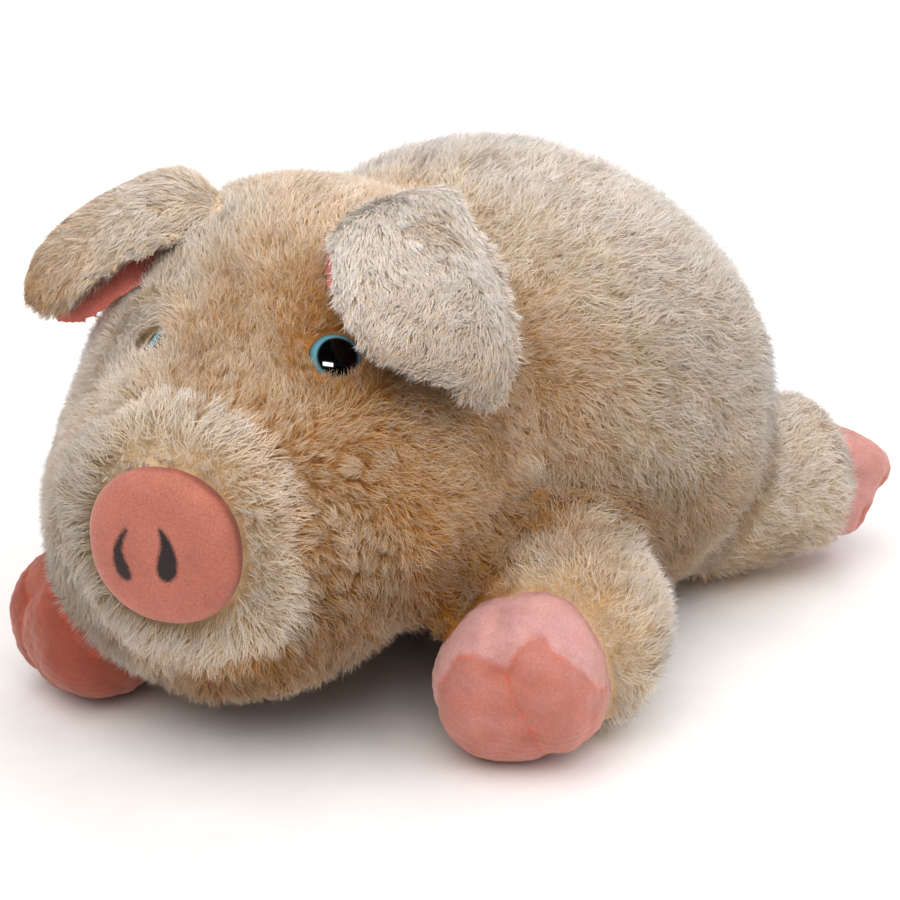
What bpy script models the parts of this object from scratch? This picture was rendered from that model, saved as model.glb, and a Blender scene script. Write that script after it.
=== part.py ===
"""A stuffed plush toy pig lying on its belly, modelled in metres with +Z up.

The pig faces -Y and its left side is +X. Every solid reaches to the tips of the
pile, so the short fur lies inside these shapes. Sewn-on pieces are separate
solids that meet their neighbours across a small gap.
"""
import math
import bpy
import bmesh
from mathutils import Matrix, Vector

MM = 0.001
GAP = 0.45                       # space between neighbouring pieces, mm

# Torso: an egg lying along Y, its underside flattened by the floor
TORSO_CENTRE = (-31.0, 52.0)
TORSO_HALF_LENGTH = 85.0
TORSO_HALF_WIDTH = 91.5
TORSO_TOP = 157.5
TORSO_WIDEST = 75.0              # height of the widest line
TORSO_SAG = 9.0                  # depth that the floor presses out of the belly
TORSO_TAPER = 0.30               # wider at the rump than at the chest

# Head: placed by the middle of the nose rim, turned to the pig's left and tipped
HEAD_NOSE = (-16.0, -103.5, 76.0)
HEAD_TURN = 19.0
HEAD_TIP = 2.0
# distance behind the nose rim, half width, bottom, widest height, top
HEAD_STATIONS = [
    (0.0, 20.0, 56.0, 74.0, 94.0),
    (1.0, 30.0, 43.0, 70.0, 102.0),
    (8.0, 46.0, 23.0, 65.0, 109.0),
    (21.0, 57.0, 14.0, 62.0, 114.0),
    (38.0, 66.5, 14.5, 63.0, 121.0),
    (56.0, 72.0, 19.0, 67.0, 134.0),
    (76.0, 76.0, 25.0, 72.0, 151.0),
    (96.0, 80.0, 30.0, 76.0, 158.0),
    (118.0, 80.0, 36.0, 82.0, 155.0),
    (138.0, 69.0, 36.0, 86.0, 141.0),
    (152.0, 44.0, 57.0, 88.0, 119.0),
    (159.0, 17.0, 76.0, 88.0, 99.0),
]
HEAD_SQUARENESS = (1.9, 1.85)     # above and below the widest line
TORSO_SQUARENESS = (1.98, 2.3)

NOSE_HALF_WIDTH = 22.3
NOSE_HALF_HEIGHT = 22.0
NOSE_DROP = 2.0                  # its middle hangs lower than the muzzle's
NOSE_BULGE = 10.5

EYE_RADIUS = 8.3
EYE_PLACE = (49.75, 31.8, 115.2)  # behind the nose rim, sideways, height
EYE_FACING = (0.55, 0.50, 0.67)  # sideways, forwards, up
EYE_DOME = 0.62                  # depth of the dome over its radius
EYE_PARTING = 2.0                # width of the parted pile round an eye

# Ears, each by its front and rear edge from root to tip, in the head's own frame
EAR_THICKNESS = 7.0
LINING_THICKNESS = 2.4
EAR_LEFT_FRONT = [(84, 20, 147), (66, 24, 145), (54, 29, 136), (46, 36, 128), (41, 45, 120), (43, 56, 113),
                  (50, 66, 106), (60, 74, 99)]
EAR_LEFT_REAR = [(112, 34, 146), (108, 46, 150), (99, 58, 144), (92, 67, 134), (86, 73, 124), (79, 77, 114),
                 (73, 79, 106), (67, 78, 99)]
EAR_RIGHT_FRONT = [(80, -16, 148), (72, -30, 143), (63, -45, 132), (58, -58, 121), (61, -70, 115), (67, -80, 116)]
EAR_RIGHT_REAR = [(112, -30, 146), (112, -45, 150), (105, -58, 148), (95, -71, 142), (83, -81, 133), (73, -85, 123)]

# Legs: start and end of the stuffed tube, with a radius at each, mm
LEGS = {
    "foreleg_left": ((44.0, 9.0, 33.0), (53.0, -12.0, 32.0), 32.5, 34.0),
    "foreleg_right": ((-66.0, -30.0, 32.0), (-72.0, -66.0, 31.0), 31.0, 31.5),
    "hindleg_left": ((24.0, 108.0, 34.0), (44.5, 139.5, 38.0), 33.0, 31.0),
    "hindleg_right": ((-86.0, 108.0, 34.0), (-106.5, 139.5, 38.0), 33.0, 31.0),
}
LEG_SINK = 1.6                   # how far the floor flattens each leg

# Feet: middle, heading in degrees from straight ahead towards the left, size, roll, downward
# pitch, and how far the toes stand apart as a share of the size
FEET = {
    "forefoot_left": ((50.0, -26.5, 24.5), 24.0, 26.5, 16.0, 0.0, 0.27),
    "forefoot_right": ((-76.0, -82.5, 24.0), -14.0, 25.5, 6.0, 0.0, 0.27),
    "hindfoot_left": ((50.5, 151.5, 30.0), 138.0, 19.5, 78.0, 30.0, 0.44),
    "hindfoot_right": ((-112.5, 151.5, 30.0), 222.0, 19.5, -78.0, 30.0, 0.44),
}

TAIL_ROOT = (-31.0, 136.0, 90.0)
TAIL_TUBE = 3.6
TAIL_COIL = 8.0


def clear_scene():
    """Remove whatever the start-up scene holds."""
    for obj in list(bpy.data.objects):
        bpy.data.objects.remove(obj, do_unlink=True)


def spline(points, count):
    """Even samples of a smooth curve through the points, of any dimension."""
    pts = [tuple(float(v) for v in p) for p in points]
    steps = [max(1e-6, math.dist(a, b)) for a, b in zip(pts, pts[1:])]
    knots = [0.0]
    for step in steps:
        knots.append(knots[-1] + step)
    dims = range(len(pts[0]))
    slopes = []
    for i in range(len(pts)):
        a, b = max(0, i - 1), min(len(pts) - 1, i + 1)
        row = []
        for d in dims:
            before = (pts[i][d] - pts[a][d]) / max(1e-6, knots[i] - knots[a]) if i > a else None
            after = (pts[b][d] - pts[i][d]) / max(1e-6, knots[b] - knots[i]) if b > i else None
            if before is None or after is None:
                row.append(after if before is None else before)
                continue
            limit = 2.5 * min(abs(before), abs(after)) if before * after > 0 else 0.0
            mean = (pts[b][d] - pts[a][d]) / (knots[b] - knots[a])
            row.append(max(-limit, min(limit, mean)))
        slopes.append(row)
    samples = []
    for k in range(count):
        t = knots[-1] * k / (count - 1)
        i = 0
        while i < len(steps) - 1 and t > knots[i + 1]:
            i += 1
        h = knots[i + 1] - knots[i]
        u = (t - knots[i]) / h
        samples.append([
            (2 * u**3 - 3 * u**2 + 1) * pts[i][d] + (u**3 - 2 * u**2 + u) * h * slopes[i][d]
            + (3 * u**2 - 2 * u**3) * pts[i + 1][d] + (u**3 - u**2) * h * slopes[i + 1][d]
            for d in dims])
    return samples


def rounded(angle, above, below=None):
    """Unit superellipse point at an angle; 2 is a plain ellipse."""
    c, s = math.cos(angle), math.sin(angle)
    power = 2.0 / (above if s > 0 or below is None else below)
    return (math.copysign(abs(c) ** power, c), math.copysign(abs(s) ** power, s))


def material(name, colour, roughness, sheen=0.0):
    """A plain Principled material with a colour, a roughness and fabric sheen."""
    mat = bpy.data.materials.new(name)
    mat.use_nodes = True
    shader = mat.node_tree.nodes["Principled BSDF"]
    shader.inputs["Base Color"].default_value = (*colour, 1.0)
    shader.inputs["Roughness"].default_value = roughness
    shader.inputs["Sheen Weight"].default_value = sheen
    return mat


def skin(name, rings, look, first_tip=None, last_tip=None):
    """Closed body through equal rings of points given in mm, with a tip at each end."""
    bm = bmesh.new()
    rows = [[bm.verts.new(Vector(p) * MM) for p in ring] for ring in rings]
    count = len(rows[0])
    for a, b in zip(rows, rows[1:]):
        for i in range(count):
            j = (i + 1) % count
            bm.faces.new((a[i], a[j], b[j], b[i]))
    for row, tip, flip in ((rows[0], first_tip, True), (rows[-1], last_tip, False)):
        if tip is None:
            bm.faces.new(row[::-1] if flip else row)
            continue
        top = bm.verts.new(Vector(tip) * MM)
        for i in range(count):
            j = (i + 1) % count
            bm.faces.new((row[j], row[i], top) if flip else (row[i], row[j], top))
    bmesh.ops.recalc_face_normals(bm, faces=bm.faces)
    mesh = bpy.data.meshes.new(name)
    bm.to_mesh(mesh)
    bm.free()
    mesh.materials.append(look)
    for face in mesh.polygons:
        face.use_smooth = True
    obj = bpy.data.objects.new(name, mesh)
    bpy.context.scene.collection.objects.link(obj)
    return obj


def grown(obj, distance):
    """A hidden copy of a solid, moved outward by a distance in mm, used to cut others."""
    copy = obj.copy()
    copy.data = obj.data.copy()
    copy.name = obj.name + "_cutter"
    bpy.context.scene.collection.objects.link(copy)
    normals = [v.normal.copy() for v in copy.data.vertices]
    for vertex, normal in zip(copy.data.vertices, normals):
        vertex.co += normal * distance * MM
    copy.hide_render = True
    copy.display_type = "WIRE"
    return copy


def keep_largest(obj):
    """Drop loose scraps that a cut leaves, keeping the biggest connected body."""
    bm = bmesh.new()
    bm.from_mesh(obj.data)
    bmesh.ops.dissolve_degenerate(bm, dist=0.00002, edges=bm.edges)
    bm.verts.ensure_lookup_table()
    seen, groups = set(), []
    for start in bm.verts:
        if start in seen:
            continue
        group, todo = [], [start]
        seen.add(start)
        while todo:
            vert = todo.pop()
            group.append(vert)
            for edge in vert.link_edges:
                other = edge.other_vert(vert)
                if other not in seen:
                    seen.add(other)
                    todo.append(other)
        groups.append(group)
    groups.sort(key=len, reverse=True)
    for group in groups[1:]:
        bmesh.ops.delete(bm, geom=group, context="VERTS")
    bm.to_mesh(obj.data)
    bm.free()


def volume(obj):
    """Enclosed volume in cubic millimetres, zero where the surface isn't closed."""
    bm = bmesh.new()
    bm.from_mesh(obj.data)
    closed = all(len(edge.link_faces) == 2 for edge in bm.edges)
    size = bm.calc_volume() / MM**3 if closed else 0.0
    bm.free()
    return size


def boolean(target, tool, operation):
    """Apply one Boolean and remove the tool; the second solver steps in where the first fails."""
    before, kept = volume(target), target.data.copy()
    for solver in ("EXACT", "MANIFOLD"):
        mod = target.modifiers.new("cut", "BOOLEAN")
        mod.operation = operation
        mod.solver = solver
        mod.object = tool
        bpy.context.view_layer.objects.active = target
        bpy.context.view_layer.update()
        bpy.ops.object.modifier_apply(modifier=mod.name)
        if volume(target) > 0.3 * before:
            break
        print(target.name, "minus", tool.name, "failed with", solver)
        target.data = kept.copy()
    bpy.data.objects.remove(tool, do_unlink=True)


def cut(target, *others, distance=GAP):
    """Make room in one solid for its neighbours, with the sewn gap between them."""
    for other in others:
        boolean(target, grown(other, distance), "DIFFERENCE")
        keep_largest(target)


def part_pile(head, eye, side):
    """Seat an eye in the head and part the pile in a narrow ring round it."""
    opening = grown(eye, EYE_PARTING)
    facing = Vector((-EYE_FACING[1], EYE_FACING[0] * side, EYE_FACING[2])).normalized()
    outward = (head_point(*facing) - head_point(0, 0, 0)) * (EYE_PARTING + 0.2) * MM
    for vertex in opening.data.vertices:
        vertex.co += outward
    boolean(head, opening, "DIFFERENCE")
    cut(head, eye)


def head_point(back, side, height):
    """A place in the head's own frame turned into the toy's frame, mm."""
    tip = math.radians(HEAD_TIP)
    lift = height - HEAD_NOSE[2]
    side, height = (side * math.cos(tip) - lift * math.sin(tip),
                    HEAD_NOSE[2] + lift * math.cos(tip) + side * math.sin(tip))
    turn = math.radians(HEAD_TURN)
    return Vector((HEAD_NOSE[0] - back * math.sin(turn) + side * math.cos(turn),
                   HEAD_NOSE[1] + back * math.cos(turn) + side * math.sin(turn), height))


def build_torso(look):
    rows, count = 24, 40
    rings = []
    for k in range(1, rows):
        along = math.pi * k / rows
        reach, swell = math.cos(along), math.sin(along)
        width = TORSO_HALF_WIDTH * swell * (1 - TORSO_TAPER * reach)
        ring = []
        for i in range(count):
            cx, cz = rounded(2 * math.pi * i / count, *TORSO_SQUARENESS)
            up = (TORSO_TOP - TORSO_WIDEST) * swell
            if cz < 0:
                up = (TORSO_WIDEST + TORSO_SAG) * swell ** 0.6
            z = TORSO_WIDEST + up * (1 - 0.25 * TORSO_TAPER * reach) * cz
            ring.append((TORSO_CENTRE[0] + width * cx,
                         TORSO_CENTRE[1] - TORSO_HALF_LENGTH * reach, max(0.0, z)))
        rings.append(ring)
    ends = [(TORSO_CENTRE[0], TORSO_CENTRE[1] + s * TORSO_HALF_LENGTH, TORSO_WIDEST) for s in (-1, 1)]
    return skin("torso", rings, look, *ends)


def build_head(look):
    count = 38
    rings = []
    for back, width, bottom, widest, top in spline(HEAD_STATIONS, 26):
        ring = []
        for i in range(count):
            cx, cz = rounded(2 * math.pi * i / count, *HEAD_SQUARENESS)
            height = widest + (top - widest if cz > 0 else widest - bottom) * cz
            ring.append(head_point(back, width * cx, height))
        rings.append(ring)
    first, last = HEAD_STATIONS[0], HEAD_STATIONS[-1]
    return skin("head", rings, look, head_point(first[0], 0, first[3]), head_point(last[0] + 1.5, 0, last[3]))


def build_nose(look):
    """Velour dome sewn on the front of the muzzle."""
    profile = [(-GAP, 0.96), (-1.6, 1.0), (-3.6, 1.0), (-6.0, 0.94), (-8.2, 0.80), (-9.7, 0.58), (-NOSE_BULGE, 0.25)]
    rings = []
    for back, scale in profile:
        rings.append([head_point(back, NOSE_HALF_WIDTH * scale * math.cos(a),
                                 HEAD_NOSE[2] - NOSE_DROP + NOSE_HALF_HEIGHT * scale * math.sin(a))
                      for a in (2 * math.pi * i / 36 for i in range(36))])
    return skin("nose", rings, look, head_point(-GAP, 0, HEAD_NOSE[2] - NOSE_DROP),
                head_point(-NOSE_BULGE - 0.3, 0, HEAD_NOSE[2] - NOSE_DROP))


def build_eye(name, side, look):
    """Domed plastic eye: a flattened ball, its back half sunk in the pile."""
    centre = Vector(EYE_PLACE)
    facing = Vector((-EYE_FACING[1], EYE_FACING[0], EYE_FACING[2])).normalized()
    centre.y *= side
    facing.y *= side
    across = facing.cross(Vector((0, 0, 1))).normalized()
    upward = across.cross(facing)
    rings = []
    rows, count = 10, 26
    for k in range(1, rows):
        along = math.pi * k / rows
        depth = EYE_DOME if along < math.pi / 2 else 0.5
        middle = centre + facing * (EYE_RADIUS * depth * math.cos(along))
        ring = []
        for i in range(count):
            a = 2 * math.pi * i / count
            p = middle + (across * math.cos(a) + upward * math.sin(a)) * EYE_RADIUS * math.sin(along)
            ring.append(head_point(*p))
        rings.append(ring)
    return skin(name, rings, look, head_point(*(centre + facing * EYE_RADIUS * EYE_DOME)),
                head_point(*(centre - facing * EYE_RADIUS * 0.5)))


def build_flap(name, front, rear, outward, thickness, offset, inset, look):
    """Curved flap between two edges, thick in the middle and thin round its rim."""
    rows, half = 13, 8
    front, rear = spline(front, rows), spline(rear, rows)
    if inset:
        rows -= 1
    rings = []
    for k in range(rows):
        a, b = Vector(front[k]), Vector(rear[k])
        a, b = a.lerp(b, inset), b.lerp(a, inset)
        chord = b - a
        normal = Vector(outward) - chord.normalized() * chord.normalized().dot(Vector(outward))
        normal.normalize()
        bow = 0.13 * chord.length
        ring = []
        for side in (1, -1):
            for i in range(half + 1):
                w = i / half if side > 0 else 1 - i / half
                if side < 0 and i in (0, half):
                    continue
                swell = math.sqrt(max(0.0, 1 - (2 * w - 1) ** 4))
                thick = 0.5 * thickness * (0.12 + 0.88 * swell) * (1.0 if k < rows - 2 else (0.8, 0.5)[k - rows + 2])
                p = a + chord * w + normal * (bow * 4 * w * (1 - w) + offset + side * thick)
                ring.append(head_point(*p))
        rings.append(ring)
    return skin(name, rings, look)


def build_leg(name, start, end, r_start, r_end, look):
    """Stuffed tube with round ends, pressed flat where it lies on the floor."""
    a, b = Vector(start), Vector(end)
    axis = (b - a).normalized()
    across = axis.cross(Vector((0, 0, 1))).normalized()
    upward = across.cross(axis)
    count, rings = 28, []
    caps = [math.pi / 2 * k / 6 for k in range(1, 7)]
    profile = [(a - axis * r_start * 0.8 * math.cos(t), r_start * math.sin(t)) for t in caps]
    profile += [(a.lerp(b, k / 6), r_start + (r_end - r_start) * k / 6) for k in range(1, 6)]
    profile += [(b + axis * r_end * 0.45 * math.sin(t), r_end * math.cos(t) ** 0.7)
                for t in (math.pi / 2 * k / 6 for k in range(0, 6))]
    for middle, radius in profile:
        ring = []
        for i in range(count):
            t = 2 * math.pi * i / count
            p = middle + (across * math.cos(t) + upward * math.sin(t)) * radius
            ring.append((p.x, p.y, max(0.0, p.z - LEG_SINK)))
        rings.append(ring)
    first, last = a - axis * r_start * 0.8, b + axis * r_end * 0.45
    return skin(name, rings, look, (first.x, first.y, first.z - LEG_SINK), (last.x, last.y, last.z - LEG_SINK))


def build_foot(name, middle, heading, size, roll, pitch, spread, look):
    """Two rounded toes joined over most of their width, with a cleft between them."""
    turn = math.radians(heading)
    ahead = Vector((math.sin(turn), -math.cos(turn), 0.0))
    side = Vector((math.cos(turn), math.sin(turn), 0.0))
    tilt = Matrix.Rotation(math.radians(roll), 3, ahead)
    across, upward = tilt @ side, tilt @ Vector((0, 0, 1))
    dip = Matrix.Rotation(math.radians(pitch), 3, side)
    ahead, across, upward = dip @ ahead, dip @ across, dip @ upward
    toes = []
    for hand in (-1, 1):
        count, rows, rings = 24, 11, []
        lean = (ahead + across * 0.12 * hand).normalized()
        flank = (across - ahead * 0.12 * hand).normalized()
        centre = Vector(middle) + across * hand * size * spread
        for k in range(1, rows):
            along = math.pi * k / rows
            reach, swell = math.cos(along), math.sin(along) ** 0.85
            ring = []
            for i in range(count):
                cx, cz = rounded(2 * math.pi * i / count, 2.2)
                p = centre - lean * size * 0.92 * reach + (flank * (0.99 - spread) * cx + upward * 0.93 * cz) * size * swell
                ring.append((p.x, p.y, max(0.0, p.z)))
            rings.append(ring)
        ends = [centre + lean * size * 0.92 * s for s in (-1, 1)]
        toes.append(skin(name + ("" if hand < 0 else "_toe"), rings, look, *ends))
    boolean(toes[0], toes[1], "UNION")
    return toes[0]


def build_tail(look):
    """Short tube that leaves the rump and curls round once."""
    count, rings = 14, []
    path = []
    for k in range(29):
        t = k / 28
        turn = 2 * math.pi * 1.15 * max(0.0, t - 0.18) / 0.82
        path.append(Vector((
            TAIL_ROOT[0] + TAIL_COIL * math.sin(turn),
            TAIL_ROOT[1] - 6 + 15 * min(1.0, t / 0.3) + 9.5 * max(0.0, t - 0.3) / 0.7,
            TAIL_ROOT[2] + TAIL_COIL * (1 - math.cos(turn)))))
    for k, p in enumerate(path):
        ahead = (path[min(28, k + 1)] - path[max(0, k - 1)]).normalized()
        across = ahead.cross(Vector((0.3, 0.1, 1.0))).normalized()
        upward = across.cross(ahead)
        radius = TAIL_TUBE * (1.0 - 0.35 * k / 28) * (1.0 if k < 28 else 0.6)
        rings.append([p + (across * math.cos(a) + upward * math.sin(a)) * radius
                      for a in (2 * math.pi * i / count for i in range(count))])
    return skin("tail", rings, look)


def flatten(obj):
    """Bring everything that lies at the floor to exactly one level."""
    for vertex in obj.data.vertices:
        if vertex.co.z < 0.02 * MM:
            vertex.co.z = 0.0


def centre_on_floor(objects):
    """Shift the toy so that the middle of its outline, at floor level, is the origin."""
    corners = [v.co for obj in objects for v in obj.data.vertices]
    shift = Vector((-(min(c.x for c in corners) + max(c.x for c in corners)) / 2,
                    -(min(c.y for c in corners) + max(c.y for c in corners)) / 2,
                    -min(c.z for c in corners)))
    for obj in objects:
        for vertex in obj.data.vertices:
            vertex.co += shift
    print("shift mm", [round(v / MM, 2) for v in shift])
    return shift


def main():
    clear_scene()
    tan = (0.62, 0.40, 0.22)
    cream = (0.72, 0.58, 0.42)
    salmon = (0.58, 0.24, 0.18)
    head = build_head(material("head_plush", tan, 0.95, 0.3))
    torso = build_torso(material("torso_plush", tan, 0.95, 0.3))
    nose = build_nose(material("nose_velour", salmon, 0.85, 0.2))
    eyes = [build_eye("eye_" + name, side, material("eye_plastic_" + name, (0.05, 0.2, 0.22), 0.08))
            for name, side in (("left", 1), ("right", -1))]
    ears, linings = [], []
    for name, front, rear, outward in (("left", EAR_LEFT_FRONT, EAR_LEFT_REAR, (-0.2, 0.8, 0.75)),
                                       ("right", EAR_RIGHT_FRONT, EAR_RIGHT_REAR, (-0.2, -0.45, 1.0))):
        inner = -(EAR_THICKNESS + LINING_THICKNESS) / 2 - GAP
        ears.append(build_flap("ear_" + name, front, rear, outward, EAR_THICKNESS, 0.0, 0.0,
                               material("ear_plush_" + name, cream, 0.95, 0.3)))
        linings.append(build_flap("ear_lining_" + name, front, rear, outward, LINING_THICKNESS, inner, 0.07,
                                  material("ear_velour_" + name, salmon, 0.85, 0.2)))
    legs = {name: build_leg(name, *shape, material(name + "_plush", cream, 0.95, 0.3))
            for name, shape in LEGS.items()}
    feet = {name: build_foot(name, *shape, material(name + "_velour", salmon, 0.85, 0.2))
            for name, shape in FEET.items()}
    tail = build_tail(material("tail_velour", salmon, 0.85, 0.2))

    cut(head, legs["foreleg_right"], feet["forefoot_right"])
    cut(torso, head)
    for ear, lining in zip(ears, linings):
        cut(lining, ear, head)
        cut(ear, head)
    cut(torso, *ears, *linings)
    cut(head, nose)
    for eye, side in zip(eyes, (1, -1)):
        part_pile(head, eye, side)
    for name, leg in legs.items():
        cut(leg, torso, distance=GAP + 0.2)
        if name == "foreleg_left":
            cut(leg, head)
        cut(feet[name.replace("leg", "foot")], leg)
    cut(tail, torso)
    everything = [torso, head, nose, *eyes, *ears, *linings, *legs.values(), *feet.values(), tail]
    for obj in everything:
        flatten(obj)
    shift = centre_on_floor(everything)
    for obj in everything:
        print(obj.name, "triangles", sum(len(p.vertices) - 2 for p in obj.data.polygons))
    return shift


placed_by = main()
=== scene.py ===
# %% [markdown]
# # A plush toy pig lying on its belly
# The real toy is a sewn skin of long plush pile, stuffed with fibre, with parts of short
# velour: the nose, the ear linings, the four feet and the tail. The eyes are domed plastic.
# The measured solids reach out to the tips of the pile. Here each soft solid is replaced by
# what it is on the toy: a skin under the pile, the pile itself strand by strand, and padded
# velour. Every number is in metres unless its name or comment says millimetres.

# %% The measured model comes first
import math

import bmesh
import bpy
import numpy as np
from mathutils import Matrix, Vector
from mathutils.bvhtree import BVHTree
from mathutils.kdtree import KDTree


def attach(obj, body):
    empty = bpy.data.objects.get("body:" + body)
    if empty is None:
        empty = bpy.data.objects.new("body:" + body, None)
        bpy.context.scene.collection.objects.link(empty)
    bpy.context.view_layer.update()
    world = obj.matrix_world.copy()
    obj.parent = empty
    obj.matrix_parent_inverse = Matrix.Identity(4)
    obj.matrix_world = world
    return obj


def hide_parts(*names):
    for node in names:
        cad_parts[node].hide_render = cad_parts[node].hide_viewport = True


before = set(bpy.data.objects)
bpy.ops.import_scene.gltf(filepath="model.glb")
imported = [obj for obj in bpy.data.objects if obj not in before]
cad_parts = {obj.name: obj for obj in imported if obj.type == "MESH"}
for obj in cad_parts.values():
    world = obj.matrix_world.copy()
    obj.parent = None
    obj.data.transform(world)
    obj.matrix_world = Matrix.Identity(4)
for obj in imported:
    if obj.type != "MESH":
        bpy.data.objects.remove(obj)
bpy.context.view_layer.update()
MM = 0.001

# %% [markdown]
# ## Where things are
# The head is turned and tipped a little, so places on the face are given in a frame of its
# own: sideways, backwards and up from the middle of the nose's rim. A matrix turns such a
# place into the toy's frame. One matrix per foot does the same for the feet.

# %% The frames of the face and the feet
SET_DOWN = Vector((24.38, -28.10, 0.0)) * MM        # the move that centred the toy on the floor
HEAD_TURN, HEAD_TIP = math.radians(19), math.radians(2)
NOSE_AT = Vector((-16.0, -103.5, 76.0)) * MM + SET_DOWN


def placing(origin, x_axis, y_axis, z_axis):
    """A matrix that turns a piece's own frame into the toy's."""
    turned = Matrix((x_axis, y_axis, z_axis)).transposed().to_4x4()
    return Matrix.Translation(origin) @ turned


FACE = placing(NOSE_AT,
               (math.cos(HEAD_TIP) * math.cos(HEAD_TURN), math.cos(HEAD_TIP) * math.sin(HEAD_TURN),
                math.sin(HEAD_TIP)),
               (-math.sin(HEAD_TURN), math.cos(HEAD_TURN), 0.0),
               (-math.sin(HEAD_TIP) * math.cos(HEAD_TURN), -math.sin(HEAD_TIP) * math.sin(HEAD_TURN),
                math.cos(HEAD_TIP)))


def on_face(side, back, up):
    """Millimetres sideways, backwards and up from the nose, as a place in the toy's frame."""
    return FACE @ (Vector((side, back, up)) * MM)


def foot_frame(middle, heading, roll, pitch):
    """The frame of a foot: across the toes, ahead out of the leg, and up."""
    turn = math.radians(heading)
    ahead, side = Vector((math.sin(turn), -math.cos(turn), 0)), Vector((math.cos(turn), math.sin(turn), 0))
    tilt = Matrix.Rotation(math.radians(roll), 3, ahead)
    dip = Matrix.Rotation(math.radians(pitch), 3, side)
    across, upward = dip @ (tilt @ side), dip @ (tilt @ Vector((0, 0, 1)))
    return placing(Vector(middle) * MM + SET_DOWN, across, dip @ ahead, upward)


# name: (frame, size, spread of the two toes)
FEET = {
    "forefoot_left": (foot_frame((50, -26.5, 24.5), 24, 16, 0), 26.5 * MM, 0.27),
    "forefoot_right": (foot_frame((-76, -82.5, 24), -14, 6, 0), 25.5 * MM, 0.27),
    "hindfoot_left": (foot_frame((50.5, 151.5, 30), 138, 78, 30), 19.5 * MM, 0.44),
    "hindfoot_right": (foot_frame((-112.5, 151.5, 30), 222, -78, 30), 19.5 * MM, 0.44),
}
# name: (where the leg leaves the body, where it ends)
LEGS = {
    "foreleg_left": ((44, 9, 33), (53, -12, 32)),
    "foreleg_right": ((-66, -30, 32), (-72, -66, 31)),
    "hindleg_left": ((24, 108, 34), (44.5, 139.5, 38)),
    "hindleg_right": ((-86, 108, 34), (-106.5, 139.5, 38)),
}
LEGS = {name: tuple(Vector(p) * MM + SET_DOWN for p in ends) for name, ends in LEGS.items()}
print("nose rim at", [round(v, 3) for v in FACE.translation])

# %% [markdown]
# ## Camera
# The photograph was taken from the toy's left front, a little above it, with a longish lens.

# %% Camera at the photograph's viewing angle
PHOTO_TURN = math.radians(40)
right = Vector((math.cos(PHOTO_TURN), math.sin(PHOTO_TURN), 0))
level = Vector((-math.sin(PHOTO_TURN), math.cos(PHOTO_TURN), 0))
forward = level * 0.9272 - Vector((0, 0, 0.3746))
upward = level * 0.3746 + Vector((0, 0, 0.9272))
camera_data = bpy.data.cameras.new("photo_camera")
camera_data.lens, camera_data.sensor_width, camera_data.clip_start = 80, 36, 0.01
camera = bpy.data.objects.new("photo_camera", camera_data)
bpy.context.scene.collection.objects.link(camera)
camera.matrix_world = placing(Vector((0.3940, -0.4686, 0.307)), right, upward, -forward)
bpy.context.scene.camera = camera
print("camera at", [round(v, 3) for v in camera.location])

# %% [markdown]
# ## Small tools for materials
# Colours are written the way a paint chart gives them, as hex numbers. Blender's shaders
# work on linear light, so one function converts them. One more function adds a node.

# %% Colour and node helpers
def hue(code):
    """A hex colour as linear light with full opacity."""
    parts = [int(code[i:i + 2], 16) / 255 for i in (1, 3, 5)]
    return [c / 12.92 if c <= 0.04045 else ((c + 0.055) / 1.055) ** 2.4 for c in parts] + [1.0]


def add_node(material, kind, inputs=None, **settings):
    """Add one node; an input given as (node, output) is linked, anything else is its value."""
    tree = material.node_tree
    node = tree.nodes.new("ShaderNode" + kind)
    for key, value in settings.items():
        setattr(node, key, value)
    for key, value in (inputs or {}).items():
        if isinstance(value, tuple) and isinstance(value[0], bpy.types.Node):
            tree.links.new(value[0].outputs[value[1]], node.inputs[key])
        else:
            node.inputs[key].default_value = value
    return node


def new_material(name, **shader):
    """A material with one Principled shader, its plain numbers set on the shader's own sockets."""
    material = bpy.data.materials.new(name)
    material.use_nodes = True
    principled = material.node_tree.nodes["Principled BSDF"]
    for key, value in shader.items():
        principled.inputs[key.replace("_", " ")].default_value = value
    return material, principled


def wire(material, source, output, target, socket):
    """Link one node's output to another's input."""
    material.node_tree.links.new(source.outputs[output], target.inputs[socket])


def ramp(material, factor, stops):
    """A colour ramp through (place, hex) stops."""
    node = add_node(material, "ValToRGB", {"Fac": factor})
    stripe = node.color_ramp
    while len(stripe.elements) < len(stops):
        stripe.elements.new(0.5)
    for element, (place, code) in zip(stripe.elements, stops):
        element.position, element.color = place, hue(code)
    return node


# %% [markdown]
# ## Plush pile
# Acrylic plush is dyed a golden tan at the backing and tipped with cream, so a brushed
# spot shows dark between pale points. Three numbers travel with each strand: how far along
# it a point is, which cloth it is cut from (-1 deep golden, painted shade for folds and
# hollows, 0 golden as on the face, 1 cream as on the muzzle, 2 ivory as on the hind legs) and
# how light it is, mostly painted light and shade. The skin uses the same scales near their
# root ends, so a parting never shows a foreign colour.

# %% Plush material
# each cloth's colour at a strand's root, at 0.4 and 0.75 of its length, and at its tip
DYES = {"golden": ("#ca803c", "#dd9f5d", "#edc698", "#f7e2cc"),
        "cream": ("#d9a768", "#ebcb9d", "#f8e7d3", "#fdf6ef"),
        "ivory": ("#d8bd9c", "#e9d9c6", "#f5eee8", "#fbf8f7")}


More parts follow.
